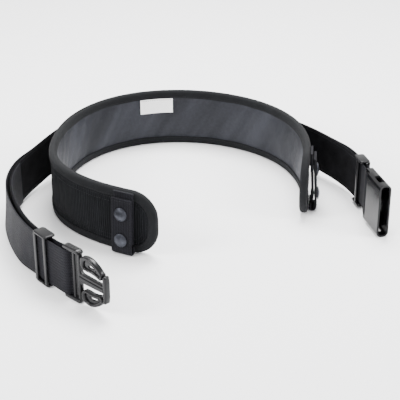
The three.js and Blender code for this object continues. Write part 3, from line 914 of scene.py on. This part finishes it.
class BELT_OT_stitching(bpy.types.Operator):
    """Sew the seams of the sleeve and its binding"""

    bl_idname = "belt.stitching"
    bl_label = "Stitching"

    def execute(self, context):
        outline = pad_outline()
        face = sizes().pad_thickness / 2
        seams = []
        for inset, out in (
            (sizes().binding_leg - 1.6 * MM, face),
            (sizes().binding_leg - 1.6 * MM, -face),
            (sizes().first_seam, COVER_FACE + 0.55 * MM),
            (sizes().second_seam, COVER_FACE + 0.65 * MM),
        ):
            _, place, _ = outline.walk(inset, sizes().stitch_pitch)
            flat = np.stack([place[:, 0], np.full(len(place), out), place[:, 1]], -1)
            if inset > sizes().binding_leg:
                outside = (place[:, 0] < LEFT_MOUTH + 1 * MM) | (place[:, 0] > RIGHT_MOUTH - 1 * MM)
                first = np.flatnonzero(~outside)[0]
                flat, outside = np.roll(flat, -first, 0), np.roll(outside, -first)
                flat = flat[outside]
            bent, ahead, normals = seam_on_run(PAD_RUN, flat, np.sign(out) * 1 * MM)
            seams.append((bent, ahead, normals))
        piece = stitches("sleeve_stitching", seams, finish_of("sewing_thread"))
        settle(piece, "pad", "binding_tape")
        return {"FINISHED"}


LABEL_START, LABEL_END = 401 * MM, 445 * MM
LABEL_THICK = 0.35 * MM


class BELT_OT_label(bpy.types.Operator):
    """Sew the blank label under the top binding"""

    bl_idname = "belt.label"
    bl_label = "Blank label"

    def execute(self, context):
        low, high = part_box("care_label")
        columns = np.linspace(LABEL_START, LABEL_END, 23)
        s, z = np.meshgrid(columns, np.linspace(low.z, high.z, 11), indexing="ij")
        hang = (high.z - z) / (high.z - low.z)
        curl = 0.5 * MM * hang**2 * (1 + 0.6 * np.sin((s - LABEL_START) / (6 * MM)))
        out = -(MOST_FULL + 0.45 * MM) - curl
        front = np.stack([s, out - LABEL_THICK, z], -1)
        back = np.stack([s, out, z], -1)
        points, faces = shell(front, back)
        label = make("blank_label", PAD_RUN.bend(points), faces, finish_of("label_cloth"), points)
        settle(label, "pad", "label_cloth", "care_label")
        line = np.arange(LABEL_START + 2 * MM, LABEL_END - 1 * MM, 3 * MM)
        flat = np.stack([line, np.full(len(line), -MOST_FULL - 0.85 * MM),
                         np.full(len(line), high.z - 1.5 * MM)], -1)
        seam = seam_on_run(PAD_RUN, flat, -1 * MM)
        sewn = stitches("label_stitching", [seam], finish_of("sewing_thread"), length=2 * MM)
        settle(sewn, "pad", "label_cloth")
        return {"FINISHED"}


# ---- the belt in its tunnel ----
class BELT_OT_tunnel(bpy.types.Operator):
    """Sew the tunnel that holds the belt on the sleeve's back"""

    bl_idname = "belt.tunnel"
    bl_label = "Belt tunnel"

    def execute(self, context):
        low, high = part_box("belt_tunnel")
        face = 3.3 * MM
        out = 8.15 * MM
        hem = 4.5 * MM
        wall = 1 * MM
        line = [(face + 0.5 * MM, low.z - hem), (face + 0.5 * MM, low.z - 0.3 * MM),
                (face + 2.6 * MM, low.z + 0.5 * MM), (out - 0.6 * MM, low.z + 2.2 * MM),
                (out - 0.4 * MM, low.z + 8 * MM)]
        height = low.z + high.z
        line += [(across, height - up) for across, up in reversed(line)]
        line, _ = evenly(line, 1.2 * MM)
        line = soften(line, 4)
        side = side_normals(line) * wall / 2
        section = np.concatenate([line + side, (line - side)[::-1]])
        piece = flat_strip("belt_tunnel_cloth", PAD_RUN, LEFT_MOUTH + 3 * MM, RIGHT_MOUTH - 3 * MM,
                           section, finish_of("outer_fabric"))
        settle(piece, "pad", "outer_fabric", "belt_tunnel")
        seams = []
        for z in (low.z - hem / 2, height - low.z + hem / 2):
            s = np.arange(LEFT_MOUTH + 5 * MM, RIGHT_MOUTH - 4 * MM, sizes().stitch_pitch)
            flat = np.stack([s, np.full(len(s), face + wall), np.full(len(s), z)], -1)
            seams.append(seam_on_run(PAD_RUN, flat, 1 * MM))
        sewn = stitches("tunnel_stitching", seams, finish_of("sewing_thread"))
        settle(sewn, "pad", "outer_fabric")
        return {"FINISHED"}


def strap(name, run, line, material, lift, lean=None):
    """The belt's web along a line of (s, outward) points, on edge, lifted and leant as it goes."""
    line, _ = evenly(line, 1.5 * MM)
    line = soften(line, 6)
    s, out = line.T
    middle = run.bend(np.stack([s, out, np.zeros(len(s))], -1))[:, :2]
    outward = run.bend(np.stack([s, out + 1, np.zeros(len(s))], -1))[:, :2] - middle
    normals = side_normals(middle)
    length = np.concatenate([[0], np.cumsum(np.linalg.norm(np.diff(middle, axis=0), axis=1))])
    section = strap_section(-WEB / 2, WEB / 2, 0, WEB_HEIGHT, rows=11)
    across, up = section.T
    plan = middle[:, None, :] + normals[:, None, :] * across[None, :, None]
    if lean is not None:
        foot = (1 - up / WEB_HEIGHT) ** 1.5
        plan = plan + outward[:, None, :] * (lean(s, out)[:, None] * foot[None, :])[:, :, None]
    z = np.broadcast_to(lift(s)[:, None] + up[None, :], plan.shape[:2])
    points = np.concatenate([plan, z[:, :, None]], -1)
    flat = np.stack(np.broadcast_arrays(length[:, None], across[None, :], up[None, :]), -1)
    return make(name, points, loft_faces(len(s), len(section)), material, flat)


WINGS = {
    "left": {
        "run": LEFT_RUN, "low": 4.5 * MM, "layers": 1, "return_to": 150 * MM,
        "lining_end": 320 * MM, "slider_at": 340 * MM,
        "replaced": ("left_webbing", "left_bar_loop", "left_adjuster_tail"),
    },
    "right": {
        "run": RIGHT_RUN, "low": 6.25 * MM, "layers": 0, "return_to": 186.4 * MM,
        "lining_end": 185.6 * MM, "slider_at": 179 * MM,
        "replaced": ("right_webbing", "right_bar_loop", "right_return_strap"),
    },
}
LAYER = WEB / 2 + LAYER_GAP / 2  # a layer's middle from the belt's mid-plane
SWELL = 3 * MM
WING_BEND = (-4 * MM, 34 * MM)  # two distances along a wing's run, given to flex, which does not bend the strap
BAR_TURN = 4.7 * MM
LOOP_REACH = 14 * MM


def lift_of(wing):
    """How high the strap's lower edge is along a wing, from the tunnel to the buckle's height."""
    return lambda s: WEB_BOTTOM + (wing["low"] - WEB_BOTTOM) * ease(s, 20 * MM, 120 * MM)


def lean_of_foot(s, out):
    """How far a strap's foot stands out along its outer pass."""
    standing_out = ease(s, 60 * MM, 170 * MM) * (1 - ease(s, 290 * MM, 335 * MM))
    return sizes().strap_lean * standing_out * (out > 0)


def strap_line(wing):
    """The strap's line: out to the buckle, round its bar and back inside the other layers."""
    length = wing["run"].length
    s = np.arange(-2 * MM, length - LOOP_REACH, 3 * MM)
    outward = LAYER + SWELL * ease(s, 100 * MM, 145 * MM)
    inner = -LAYER - wing["layers"] * (WEB + LAYER_GAP)
    going = list(zip(s, outward))
    half_way = length - 0.55 * LOOP_REACH
    going.append((half_way, (LAYER + SWELL + 2 * BAR_TURN) / 3))
    for degrees in range(105, -106, -15):
        turn = radians(degrees)
        going.append((length + BAR_TURN * cos(turn), BAR_TURN * sin(turn)))
    going.append((half_way, (inner - 2 * BAR_TURN) / 3))
    going += [(at, inner) for at in np.arange(length - LOOP_REACH, wing["return_to"], -3 * MM)]
    going.append((wing["return_to"], inner))
    return going


class BELT_OT_straps(bpy.types.Operator):
    """Run the belt's web through the tunnel, and round each buckle's bar"""

    bl_idname = "belt.straps"
    bl_label = "Belt web"

    def execute(self, context):
        web = finish_of("webbing")
        velvet = finish_of("hook_and_loop_pile")
        top = WEB_BOTTOM + WEB_HEIGHT
        for name, out, slot, node in (
            ("belt_web_middle", BELT_OFFSET + LAYER, "webbing", "belt_webbing_center"),
            ("belt_pile_middle", BELT_OFFSET - LAYER, "hook_and_loop_pile", "belt_lining_center"),
        ):
            section = strap_section(out - WEB / 2, out + WEB / 2, WEB_BOTTOM, top)
            piece = flat_strip(name, PAD_RUN, LEFT_MOUTH + 2 * MM, RIGHT_MOUTH - 2 * MM, section,
                               finish_of(slot))
            settle(piece, "pad", slot, node)
        for side, wing in WINGS.items():
            run = wing["run"]
            joint = run.bend([(at, 0, 0) for at in WING_BEND])
            bodies = ("pad", f"{side}_wing")
            web_piece = strap(f"{side}_belt_web", run, strap_line(wing), web, lift_of(wing),
                              lean_of_foot if side == "left" else None)
            flex(web_piece, bodies, *joint, "webbing", *wing["replaced"])
            section = strap_section(-LAYER - WEB / 2, -LAYER + WEB / 2, 0, WEB_HEIGHT)
            lining = flat_strip(f"{side}_belt_pile", run, -1.5 * MM, wing["lining_end"], section,
                                velvet, lift=lift_of(wing))
            flex(lining, bodies, *joint, "hook_and_loop_pile", f"{side}_lining")
            seams = []
            for up in (3.5 * MM, WEB_HEIGHT - 3.5 * MM):
                s = np.arange(6 * MM, wing["lining_end"] - 4 * MM, sizes().stitch_pitch)
                flat = np.stack([s, np.full(len(s), -LAYER - WEB / 2), lift_of(wing)(s) + up], -1)
                seams.append(seam_on_run(run, flat, -1 * MM))
            sewn = stitches(f"{side}_belt_stitching", seams, finish_of("sewing_thread"))
            flex(sewn, bodies, *joint, "webbing")
        return {"FINISHED"}


# ---- keepers ----
KEEPERS = {"left": 37 * MM, "right": PAD_RUN.length - 40 * MM}
FLAP = 1.5 * MM
DOUBLED = 2.6 * MM  # the flap's web is folded double
STIFFENED = (-1.05 * MM, 1.4 * MM)  # the inner strap's faces, with a stiffener between its layers
FOOT = (13.2 * MM, 10 * MM)  # where the flap leaves its fold: outward, up
TIP = (10.2 * MM, 65 * MM)
BEHIND = 4.4 * MM  # from the flap's mid-plane to the inner strap's
SNAPS = {"upper": 48 * MM, "lower": 18 * MM}
TAB_SEAM = 68.5 * MM  # heights of the rows of stitches across a keeper
TIP_SEAM = 62.5 * MM


def flap_out(z):
    """How far out the flap stands at a height, from the sleeve's mid-plane."""
    return FOOT[0] + (TIP[0] - FOOT[0]) * (z - FOOT[1]) / (TIP[1] - FOOT[1])


def keeper_strap(name, line, place, back, front):
    """A keeper's strap: a line (outward, up) seen from its side, with its faces behind and ahead."""
    line, length = evenly(line, 1.1 * MM)
    line = soften(line, 3)
    normals = side_normals(line)
    half = sizes().keeper_width / 2
    across, wide = strap_section(back, front, -half, half, rows=9).T
    out = line[:, :1] + normals[:, :1] * across
    up = line[:, 1:] + normals[:, 1:] * across
    local = np.stack(np.broadcast_arrays(wide[None, :], out, up), -1)
    flat = np.stack(np.broadcast_arrays(length[:, None], across[None, :], wide[None, :]), -1)
    faces = loft_faces(len(line), len(across))
    return make(name, place(local), faces, finish_of("webbing"), flat)


def keeper_seams(name, place, rows):
    """Stitches on a keeper: rows of local points with one direction and an outward normal."""
    seams = []
    for points, direction in rows:
        points = np.asarray(points)
        placed = place(points)
        ahead = place(points + np.asarray(direction)) - placed
        ahead /= np.linalg.norm(ahead, axis=1)[:, None]
        outward = place(points + np.array([0, 1, 0])) - placed
        seams.append((placed, ahead, outward))
    return stitches(name, seams, finish_of("sewing_thread"), length=2.2 * MM)


class BELT_OT_keepers(bpy.types.Operator):
    """Make the two snap keepers of folded web"""

    bl_idname = "belt.keepers"
    bl_label = "Keepers"

    def execute(self, context):
        tab = sizes().pad_thickness / 2 + LAYER_GAP + FLAP / 2
        pad_top = sizes().pad_height
        for side, middle in KEEPERS.items():
            place = standing_on(PAD_RUN, middle)
            outer = [(tab, 9.5 * MM), (tab, 3.2 * MM), (tab + 0.6 * MM, 1.8 * MM),
                     (tab + 1.9 * MM, 1.1 * MM), (FOOT[0] - 2.6 * MM, 1.05 * MM),
                     (FOOT[0] - 0.9 * MM, 1.9 * MM), (FOOT[0] - 0.1 * MM, 4.2 * MM), FOOT, TIP]
            flap = keeper_strap(f"{side}_keeper_flap_web", outer, place, -FLAP / 2, DOUBLED - FLAP / 2)
            hinge = place([(0, 9.7 * MM, 1.1 * MM), (0, 12.5 * MM, 1.94 * MM)])
            flex(flap, ("pad", f"{side}_keeper_flap"), *hinge, "webbing",
                 f"{side}_keeper_flap", f"{side}_keeper_bottom_tab")
            inner = [(tab, pad_top - 1 * MM), (tab, 66.4 * MM),
                     (flap_out(65.2 * MM) - BEHIND, 65.2 * MM), (flap_out(13 * MM) - BEHIND, 13 * MM)]
            hung = keeper_strap(f"{side}_keeper_inner_web", inner, place, *STIFFENED)
            turn = place([(0, tab, 67.5 * MM), (0, tab, 63.5 * MM)])
            flex(hung, ("pad", f"{side}_keeper_strap"), *turn, "webbing",
                 f"{side}_keeper_inner_strap", f"{side}_keeper_top_tab")
            reach = sizes().keeper_width / 2 - 2 * MM
            wide = np.arange(-reach, reach + 1e-6, 3 * MM)
            face = FLAP / 2
            top_row = [(w, tab + face, TAB_SEAM) for w in wide]
            sewn = keeper_seams(f"{side}_keeper_top_stitching", place, [(top_row, (1, 0, 0))])
            settle(sewn, "pad", "webbing")
            tall = np.arange(8 * MM, 63 * MM, 3 * MM)
            edge_rows = []
            for w in (-reach, reach):
                edge_rows.append(([(w, flap_out(z) + face, z) for z in tall], (0, 0, 1)))
            edge_rows.append(([(w, flap_out(TIP_SEAM) + face, TIP_SEAM) for w in wide], (1, 0, 0)))
            sewn = keeper_seams(f"{side}_keeper_flap_stitching", place, edge_rows)
            settle(sewn, f"{side}_keeper_flap", "webbing")
        return {"FINISHED"}


def snap_cap_profile():
    """(radius, outward) points of a domed cap with a rolled rim, its post and its socket."""
    radius, face = sizes().snap_radius, FLAP / 2
    base = face + LAYER_GAP
    dome = [(r, base + 2.8 * MM - 1.3 * MM * (r / (0.84 * radius)) ** 2)
            for r in np.linspace(0, 0.84 * radius, 9)]
    dip = [(0.865 * radius, base + 1.1 * MM), (0.885 * radius, base + 1.1 * MM)]
    rim = [(radius - 0.55 * MM + 0.55 * MM * cos(turn), base + 0.85 * MM + 0.6 * MM * sin(turn))
           for turn in np.radians(np.arange(120, -61, -30))]
    under = [(radius - 0.6 * MM, base), (1.6 * MM, base), (1.6 * MM, -base),
             (4.6 * MM, -base), (4.6 * MM, -face - 1.6 * MM), (2.6 * MM, -face - 1.6 * MM),
             (2.6 * MM, -face - 0.7 * MM), (0, -face - 0.7 * MM)]
    return dome + dip + rim + under


def snap_stud_profile():
    """(radius, outward) points of the stud on the inner strap, with its backing washer."""
    face = FLAP / 2
    front = -BEHIND + face
    back = -BEHIND - face - LAYER_GAP
    return [(0, front + 1.8 * MM), (1.6 * MM, front + 1.8 * MM), (2 * MM, front + 1.5 * MM),
            (1.8 * MM, front + 0.9 * MM), (4.2 * MM, front + 0.8 * MM), (4.6 * MM, front + 0.55 * MM),
            (4.6 * MM, front + LAYER_GAP), (1.6 * MM, front + LAYER_GAP), (1.6 * MM, back),
            (4 * MM, back), (4 * MM, back - 0.5 * MM), (3.6 * MM, back - 0.9 * MM),
            (0, back - 0.9 * MM)]


class BELT_OT_snaps(bpy.types.Operator):
    """Set the snap caps and studs in the keepers"""

    bl_idname = "belt.snaps"
    bl_label = "Snaps"

    def execute(self, context):
        slope = (TIP[0] - FOOT[0]) / (TIP[1] - FOOT[1])
        lean = np.arctan(slope)
        metal = finish_of("snap_metal")
        for side, middle in KEEPERS.items():
            place = standing_on(PAD_RUN, middle)
            for level, z in SNAPS.items():

                def seat(points, z=z):
                    across, out, up = np.asarray(points).T
                    tilted_out = out * cos(lean) + up * sin(lean) + flap_out(z)
                    tilted_up = up * cos(lean) - out * sin(lean) + z
                    return place(np.stack([across, tilted_out, tilted_up], -1))

                cap = lathe(f"{side}_{level}_cap", snap_cap_profile(), metal, seat)
                settle(cap, f"{side}_keeper_flap", "snap_metal", f"{side}_{level}_snap_cap")
                stud = lathe(f"{side}_{level}_stud", snap_stud_profile(), metal, seat)
                settle(stud, f"{side}_keeper_strap", "snap_metal", f"{side}_{level}_snap_stud")
        return {"FINISHED"}


# ---- moulded pieces ----
def rod(name, line, radius, material, place):
    """A round rod along local points, its ends domed."""
    line = np.asarray(line, float)
    along = np.gradient(line, axis=0)
    along /= np.linalg.norm(along, axis=1)[:, None]
    side = np.cross(along, [0, 0, 1])
    short = np.linalg.norm(side, axis=1) < 0.1
    side[short] = np.cross(along[short], [0, 1, 0])
    side /= np.linalg.norm(side, axis=1)[:, None]
    other = np.cross(along, side)
    turn = np.arange(16) * tau / 16
    rings = (line[:, None, :] + radius * (np.cos(turn)[None, :, None] * side[:, None, :]
             + np.sin(turn)[None, :, None] * other[:, None, :]))
    return make(name, place(rings), loft_faces(len(line), 16), material, rings)


def joined(name, pieces):
    """Several closed parts of one moulding as one object."""
    mesh = bpy.data.meshes.new(name)
    worker = bmesh.new()
    for piece in pieces:
        worker.from_mesh(piece.data)
    worker.to_mesh(mesh)
    worker.free()
    mesh.materials.append(pieces[0].data.materials[0])
    mesh.shade_smooth()
    mesh.set_sharp_from_angle(angle=radians(40))
    for piece in pieces:
        bpy.data.objects.remove(piece)
    made = bpy.data.objects.new(name, mesh)
    bpy.context.scene.collection.objects.link(made)
    return made


WEB_ROOM = 0.9 * MM  # above and below the web in a slider or a slot
SLIDER_BAR = 2.4 * MM
SLIDER_RAIL = 2.8 * MM
SLIDER_HALF = 11.5 * MM
BAR_HALF = 2.4 * MM


class BELT_OT_sliders(bpy.types.Operator):
    """Mould the two strap sliders"""

    bl_idname = "belt.sliders"
    bl_label = "Sliders"

    def execute(self, context):
        plastic = finish_of("moulded_plastic")
        for side, wing in WINGS.items():
            run = wing["run"]
            place = standing_on(run, wing["slider_at"])
            near = -LAYER - WEB / 2 - wing["layers"] * (WEB + LAYER_GAP) - 0.6 * MM
            far = LAYER + WEB / 2 + SWELL + 0.6 * MM
            low, high = wing["low"] - WEB_ROOM, wing["low"] + WEB_HEIGHT + WEB_ROOM
            bottom, top = low - SLIDER_RAIL / 2, high + SLIDER_RAIL / 2

            def lying(local, height, flip=run.side):
                """Local (along, up, sideways) of a plate laid flat at a height."""
                local = np.asarray(local)
                turned = np.stack([local[..., 0], local[..., 2] * flip, height + local[..., 1]], -1)
                return place(turned)

            parts = []
            for height in (bottom, top):
                outline = rectangle(-SLIDER_HALF, SLIDER_HALF, near - SLIDER_BAR, far + SLIDER_BAR,
                                    3.6 * MM)
                parts.append(plate("rail", [outline], SLIDER_RAIL, 1.2 * MM, plastic,
                                   lambda p, h=height: lying(p, h)))
            for along, out in (
                (-SLIDER_HALF + 2.9 * MM, far + SLIDER_BAR / 2),
                (SLIDER_HALF - 2.9 * MM, far + SLIDER_BAR / 2),
                (0, near - SLIDER_BAR / 2),
            ):
                outline = rectangle(along - BAR_HALF, along + BAR_HALF, bottom, top, 0.5 * MM)
                parts.append(plate("bar", [outline], SLIDER_BAR, 0.9 * MM, plastic,
                                   lambda p, o=out: place(np.asarray(p) + [0, o * run.side, 0])))
            slider = joined(f"{side}_strap_slider", parts)
            settle(slider, f"{side}_slider", "moulded_plastic", f"{side}_slider")
        return {"FINISHED"}


# Outlines of the male buckle are in millimetres: along it, and out from the middle of its height.
MALE_HEADING, FEMALE_HEADING = -44, -77  # degrees
MALE_MIDDLE = 59 / 2 * MM
WEB_HALF = WEB_HEIGHT / 2 + WEB_ROOM
SHOULDER = 15.5 * MM  # where the slot for the web's return ends
BODY = [
    (-2.4, WEB_HALF / MM), (-4, 27.2), (-2.8, 29), (0, 29.5), (16.5, 29.5), (18.7, 28.6),
    (19.5, 26.5), (19.5, 7.2), (21.4, 5), (52.5, 4.2), (53.2, 5.2), (53.5, 12.5), (54.3, 14.6),
    (55.5, 15), (56.7, 14), (57.5, 8),
]
CHEEK = [
    (-4.3, 25.6), (-4.6, 27.6), (-3.4, 29.2), (-0.5, 29.7), (16.2, 29.7), (18.4, 28.9),
    (19.4, 27.2), (19.4, 25.6), (16, 25.3), (-2, 25.3),
]
NOSE = [(53, 12.5), (54, 14.9), (55.6, 15.2), (57, 14), (57.8, 8)]
SPINE = [(19, 2.4), (24, 1.7), (52, 1.4), (54, 1.8)]
LEAF = [
    (21, 14.5), (20.2, 17), (20.1, 20.5), (21.2, 23.4), (24, 25.2), (28.5, 26.6), (34, 26.6),
    (38.5, 25.4), (43, 23.2), (47.4, 20.4), (50.8, 17.2), (52, 14.8), (52.2, 12), (51.3, 10),
    (49.3, 9), (46, 9.4), (41, 10.7), (35.6, 11.3), (29.4, 11), (24.6, 11.5),
]
THUMB = LEAF[3:8]  # the stretch of the arm that a thumb presses
HOLLOW = [
    (25.3, 16.4), (26.7, 21.2), (31, 23.3), (36.5, 22.4), (41.8, 19.6), (46.3, 16.2), (48.9, 13.6),
    (48, 12.1), (44.5, 12.4), (39, 14), (33, 14.5), (27.6, 14.2),
]
HOOK = [
    (47.5, 9.6), (50, 9.2), (51.6, 10.4), (52.3, 12.6), (52.1, 15), (50.6, 16.6), (49.4, 15.4),
    (49.9, 12.8), (48.4, 11.4),
]


def one_side(half, sign):
    """One side of the buckle, 1 above its middle and -1 below."""
    return [(x * MM, MALE_MIDDLE + sign * h * MM) for x, h in half]


def mirrored(half):
    """A whole outline from its upper half."""
    return one_side(reversed(half), -1) + one_side(half, 1)


def male_frame(plastic, place):
    """The body with its two slots, its cheeks and their grips, the nose and the guide's spine."""

    def moulding(name, outline, corner, thickness, bevel, holes=()):
        return plate(name, [round_corners(outline, corner), *holes], thickness, bevel, plastic, place)

    slots = [
        rectangle(left, right, MALE_MIDDLE - WEB_HALF, MALE_MIDDLE + WEB_HALF, 1.2 * MM)
        for left, right in ((2.4 * MM, 8.2 * MM), (11.5 * MM, SHOULDER))
    ]
    parts = [moulding("frame", mirrored(BODY), 1.2 * MM, 5 * MM, 1.1 * MM, slots)]
    for sign in (1, -1):
        parts.append(moulding("cheek", one_side(CHEEK, sign), 0.9 * MM, 7.8 * MM, 1.2 * MM))
        for step in range(4):
            at = (1 + 4 * step) * MM
            top = MALE_MIDDLE + sign * 29.6 * MM
            line = [(at, side * MM, top) for side in np.linspace(-2.6, 2.6, 7)]
            parts.append(rod("grip", line, 0.45 * MM, plastic, place))
    parts.append(moulding("nose", mirrored(NOSE), 1 * MM, 6.6 * MM, 1.3 * MM))
    parts.append(moulding("spine", mirrored(SPINE), 0.6 * MM, 7 * MM, 0.7 * MM))
    return joined("male_buckle_moulding", parts)


def release_arm(level, sign, plastic, place):
    """A sprung arm: a leaf round a recessed web, with a ribbed thumb rest and a barb."""
    outer = smooth_loop(one_side(LEAF, sign))
    inner = smooth_loop(one_side(HOLLOW, sign))
    arm = plate("arm", [outer, inner], 6 * MM, 1.5 * MM, plastic, place)
    centre = inner.mean(axis=0)
    panel = [centre + (inner - centre) * 1.06, centre + (inner - centre) * [0.5, 0.32]]
    web = plate("web", panel, 2.4 * MM, 0.3 * MM, plastic, place)
    grip = []
    thumb_x, thumb_height = zip(*THUMB)
    for share in np.linspace(0.06, 0.94, 9):
        at = 22 + 15 * share
        up = MALE_MIDDLE + sign * (np.interp(at, thumb_x, thumb_height) - 0.15) * MM
        line = [(at * MM, side * MM, up) for side in np.linspace(-2, 2, 5)]
        grip.append(rod("grip", line, 0.4 * MM, plastic, place))
    hook = round_corners(one_side(HOOK, sign), 0.8 * MM)
    barb = plate("barb", [hook], 7 * MM, 0.9 * MM, plastic, place)
    return joined(f"{level}_arm_moulding", [arm, web, barb, *grip])


class BELT_OT_male_buckle(bpy.types.Operator):
    """Mould the male buckle: frame, guide, nose and two sprung arms"""

    bl_idname = "belt.male_buckle"
    bl_label = "Male buckle"

    def execute(self, context):
        plastic = finish_of("moulded_plastic")
        place = standing_on(LEFT_RUN, LEFT_RUN.length, MALE_HEADING)
        settle(male_frame(plastic, place), "male_buckle", "moulded_plastic", "male_buckle_frame")
        for level, sign in (("upper", 1), ("lower", -1)):
            arm = release_arm(level, sign, plastic, place)
            settle(arm, f"{level}_release_arm", "moulded_plastic", f"{level}_release_arm")
        return {"FINISHED"}


class BELT_OT_female_buckle(bpy.types.Operator):
    """Finish the female buckle's body with plastic and bevelled edges, and mould its inner ribs"""

    bl_idname = "belt.female_buckle"
    bl_label = "Female buckle"

    def execute(self, context):
        plastic = finish_of("moulded_plastic")
        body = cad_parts["female_buckle_body"]
        body.data.materials.clear()
        body.data.materials.append(plastic)
        weld = body.modifiers.new("weld", "WELD")
        weld.merge_threshold = 0.01 * MM
        bevel = body.modifiers.new("edges", "BEVEL")
        bevel.width = 0.5 * MM
        bevel.segments = 3
        bevel.limit_method = "ANGLE"
        bevel.angle_limit = radians(38)
        place = standing_on(RIGHT_RUN, RIGHT_RUN.length, FEMALE_HEADING)
        height = 62.5 * MM
        parts = []
        for z in (height * 0.33, height * 0.67):
            rib = rectangle(12 * MM, 43 * MM, z - 0.6 * MM, z + 0.6 * MM, 0.3 * MM)
            for side in (-1, 1):
                parts.append(plate("rib", [rib], 1.2 * MM, 0.3 * MM, plastic,
                                   lambda p, s=side: place(np.asarray(p) + [0, s * 4.5 * MM, 0])))
        ribs_piece = joined("female_buckle_ribs", parts)
        settle(ribs_piece, "female_buckle", "moulded_plastic")
        return {"FINISHED"}


# ---- stage ----
FLOOR_HALF = 9.0  # metres
WORLD_LIGHT = 1.7
SOFTBOXES = (  # name, place, size and power
    ("top_softbox", (0.1, 0.5, 1.4), 0.8, 50),
    ("left_softbox", (-1.2, -0.5, 0.9), 0.5, 22),
    ("right_softbox", (1.2, -0.3, 0.9), 0.5, 14),
)
LIT_SPOT = Vector((0, 0, 0.03))
CAMERA_PLACE = (0.0045, -1.127, 0.5683)
CAMERA_LENS, SENSOR_WIDTH = 99, 36  # millimetres
TILT_DOWN = 26  # degrees


class BELT_OT_stage(bpy.types.Operator):
    """Lay the pale floor, and set the lights and the camera"""

    bl_idname = "belt.stage"
    bl_label = "Stage"

    def execute(self, context):
        scene = bpy.context.scene
        corners = [(x * FLOOR_HALF, y * FLOOR_HALF, 0) for x, y in ((-1, -1), (1, -1), (1, 1), (-1, 1))]
        floor = make("studio_floor", corners, [[0, 1, 2, 3]], finish_of("pale_floor"))
        floor.location.z = CAD_BOX[0][2] - 0.2 * MM
        world = bpy.data.worlds.new("studio")
        scene.world = world
        world.use_nodes = True
        background = world.node_tree.nodes["Background"].inputs
        background["Color"].default_value = (1, 1, 1, 1)
        background["Strength"].default_value = WORLD_LIGHT
        for name, place, size, power in SOFTBOXES:
            light = bpy.data.lights.new(name, "AREA")
            light.size = size
            light.energy = power
            lamp = bpy.data.objects.new(name, light)
            lamp.location = place
            lamp.rotation_euler = (LIT_SPOT - Vector(place)).to_track_quat("-Z", "Y").to_euler()
            scene.collection.objects.link(lamp)
        camera = bpy.data.cameras.new("camera")
        camera.lens = CAMERA_LENS
        camera.sensor_width = SENSOR_WIDTH
        viewer = bpy.data.objects.new("camera", camera)
        viewer.location = CAMERA_PLACE
        viewer.rotation_euler = (radians(90 - TILT_DOWN), 0, 0)
        scene.collection.objects.link(viewer)
        scene.camera = viewer
        return {"FINISHED"}


OPERATORS = (
    BELT_OT_stage,
    BELT_OT_sleeve,
    BELT_OT_binding,
    BELT_OT_stitching,
    BELT_OT_label,
    BELT_OT_tunnel,
    BELT_OT_straps,
    BELT_OT_keepers,
    BELT_OT_snaps,
    BELT_OT_sliders,
    BELT_OT_male_buckle,
    BELT_OT_female_buckle,
)


class BELT_PT_panel(bpy.types.Panel):
    """The belt's sizes, colours and building steps"""

    bl_idname = "BELT_PT_panel"
    bl_label = "Work Belt"
    bl_space_type = "VIEW_3D"
    bl_region_type = "UI"
    bl_category = "Work Belt"

    def draw(self, context):
        for group in (context.scene.belt_sizes, context.scene.belt_colours):
            for key in group.__annotations__:
                self.layout.prop(group, key)
        for operator in OPERATORS:
            self.layout.operator(operator.bl_idname)


CLASSES = (BELT_PG_sizes, BELT_PG_colours, *OPERATORS, BELT_PT_panel)


def register():
    for item in CLASSES:
        bpy.utils.register_class(item)
    bpy.types.Scene.belt_sizes = PointerProperty(type=BELT_PG_sizes)
    bpy.types.Scene.belt_colours = PointerProperty(type=BELT_PG_colours)


def unregister():
    del bpy.types.Scene.belt_colours
    del bpy.types.Scene.belt_sizes
    for item in reversed(CLASSES):
        bpy.utils.unregister_class(item)


def main():
    """Builds the belt piece by piece."""
    register()
    for operator in OPERATORS:
        group, name = operator.bl_idname.split(".")
        getattr(getattr(bpy.ops, group), name)()


if __name__ == "__main__":
    main()
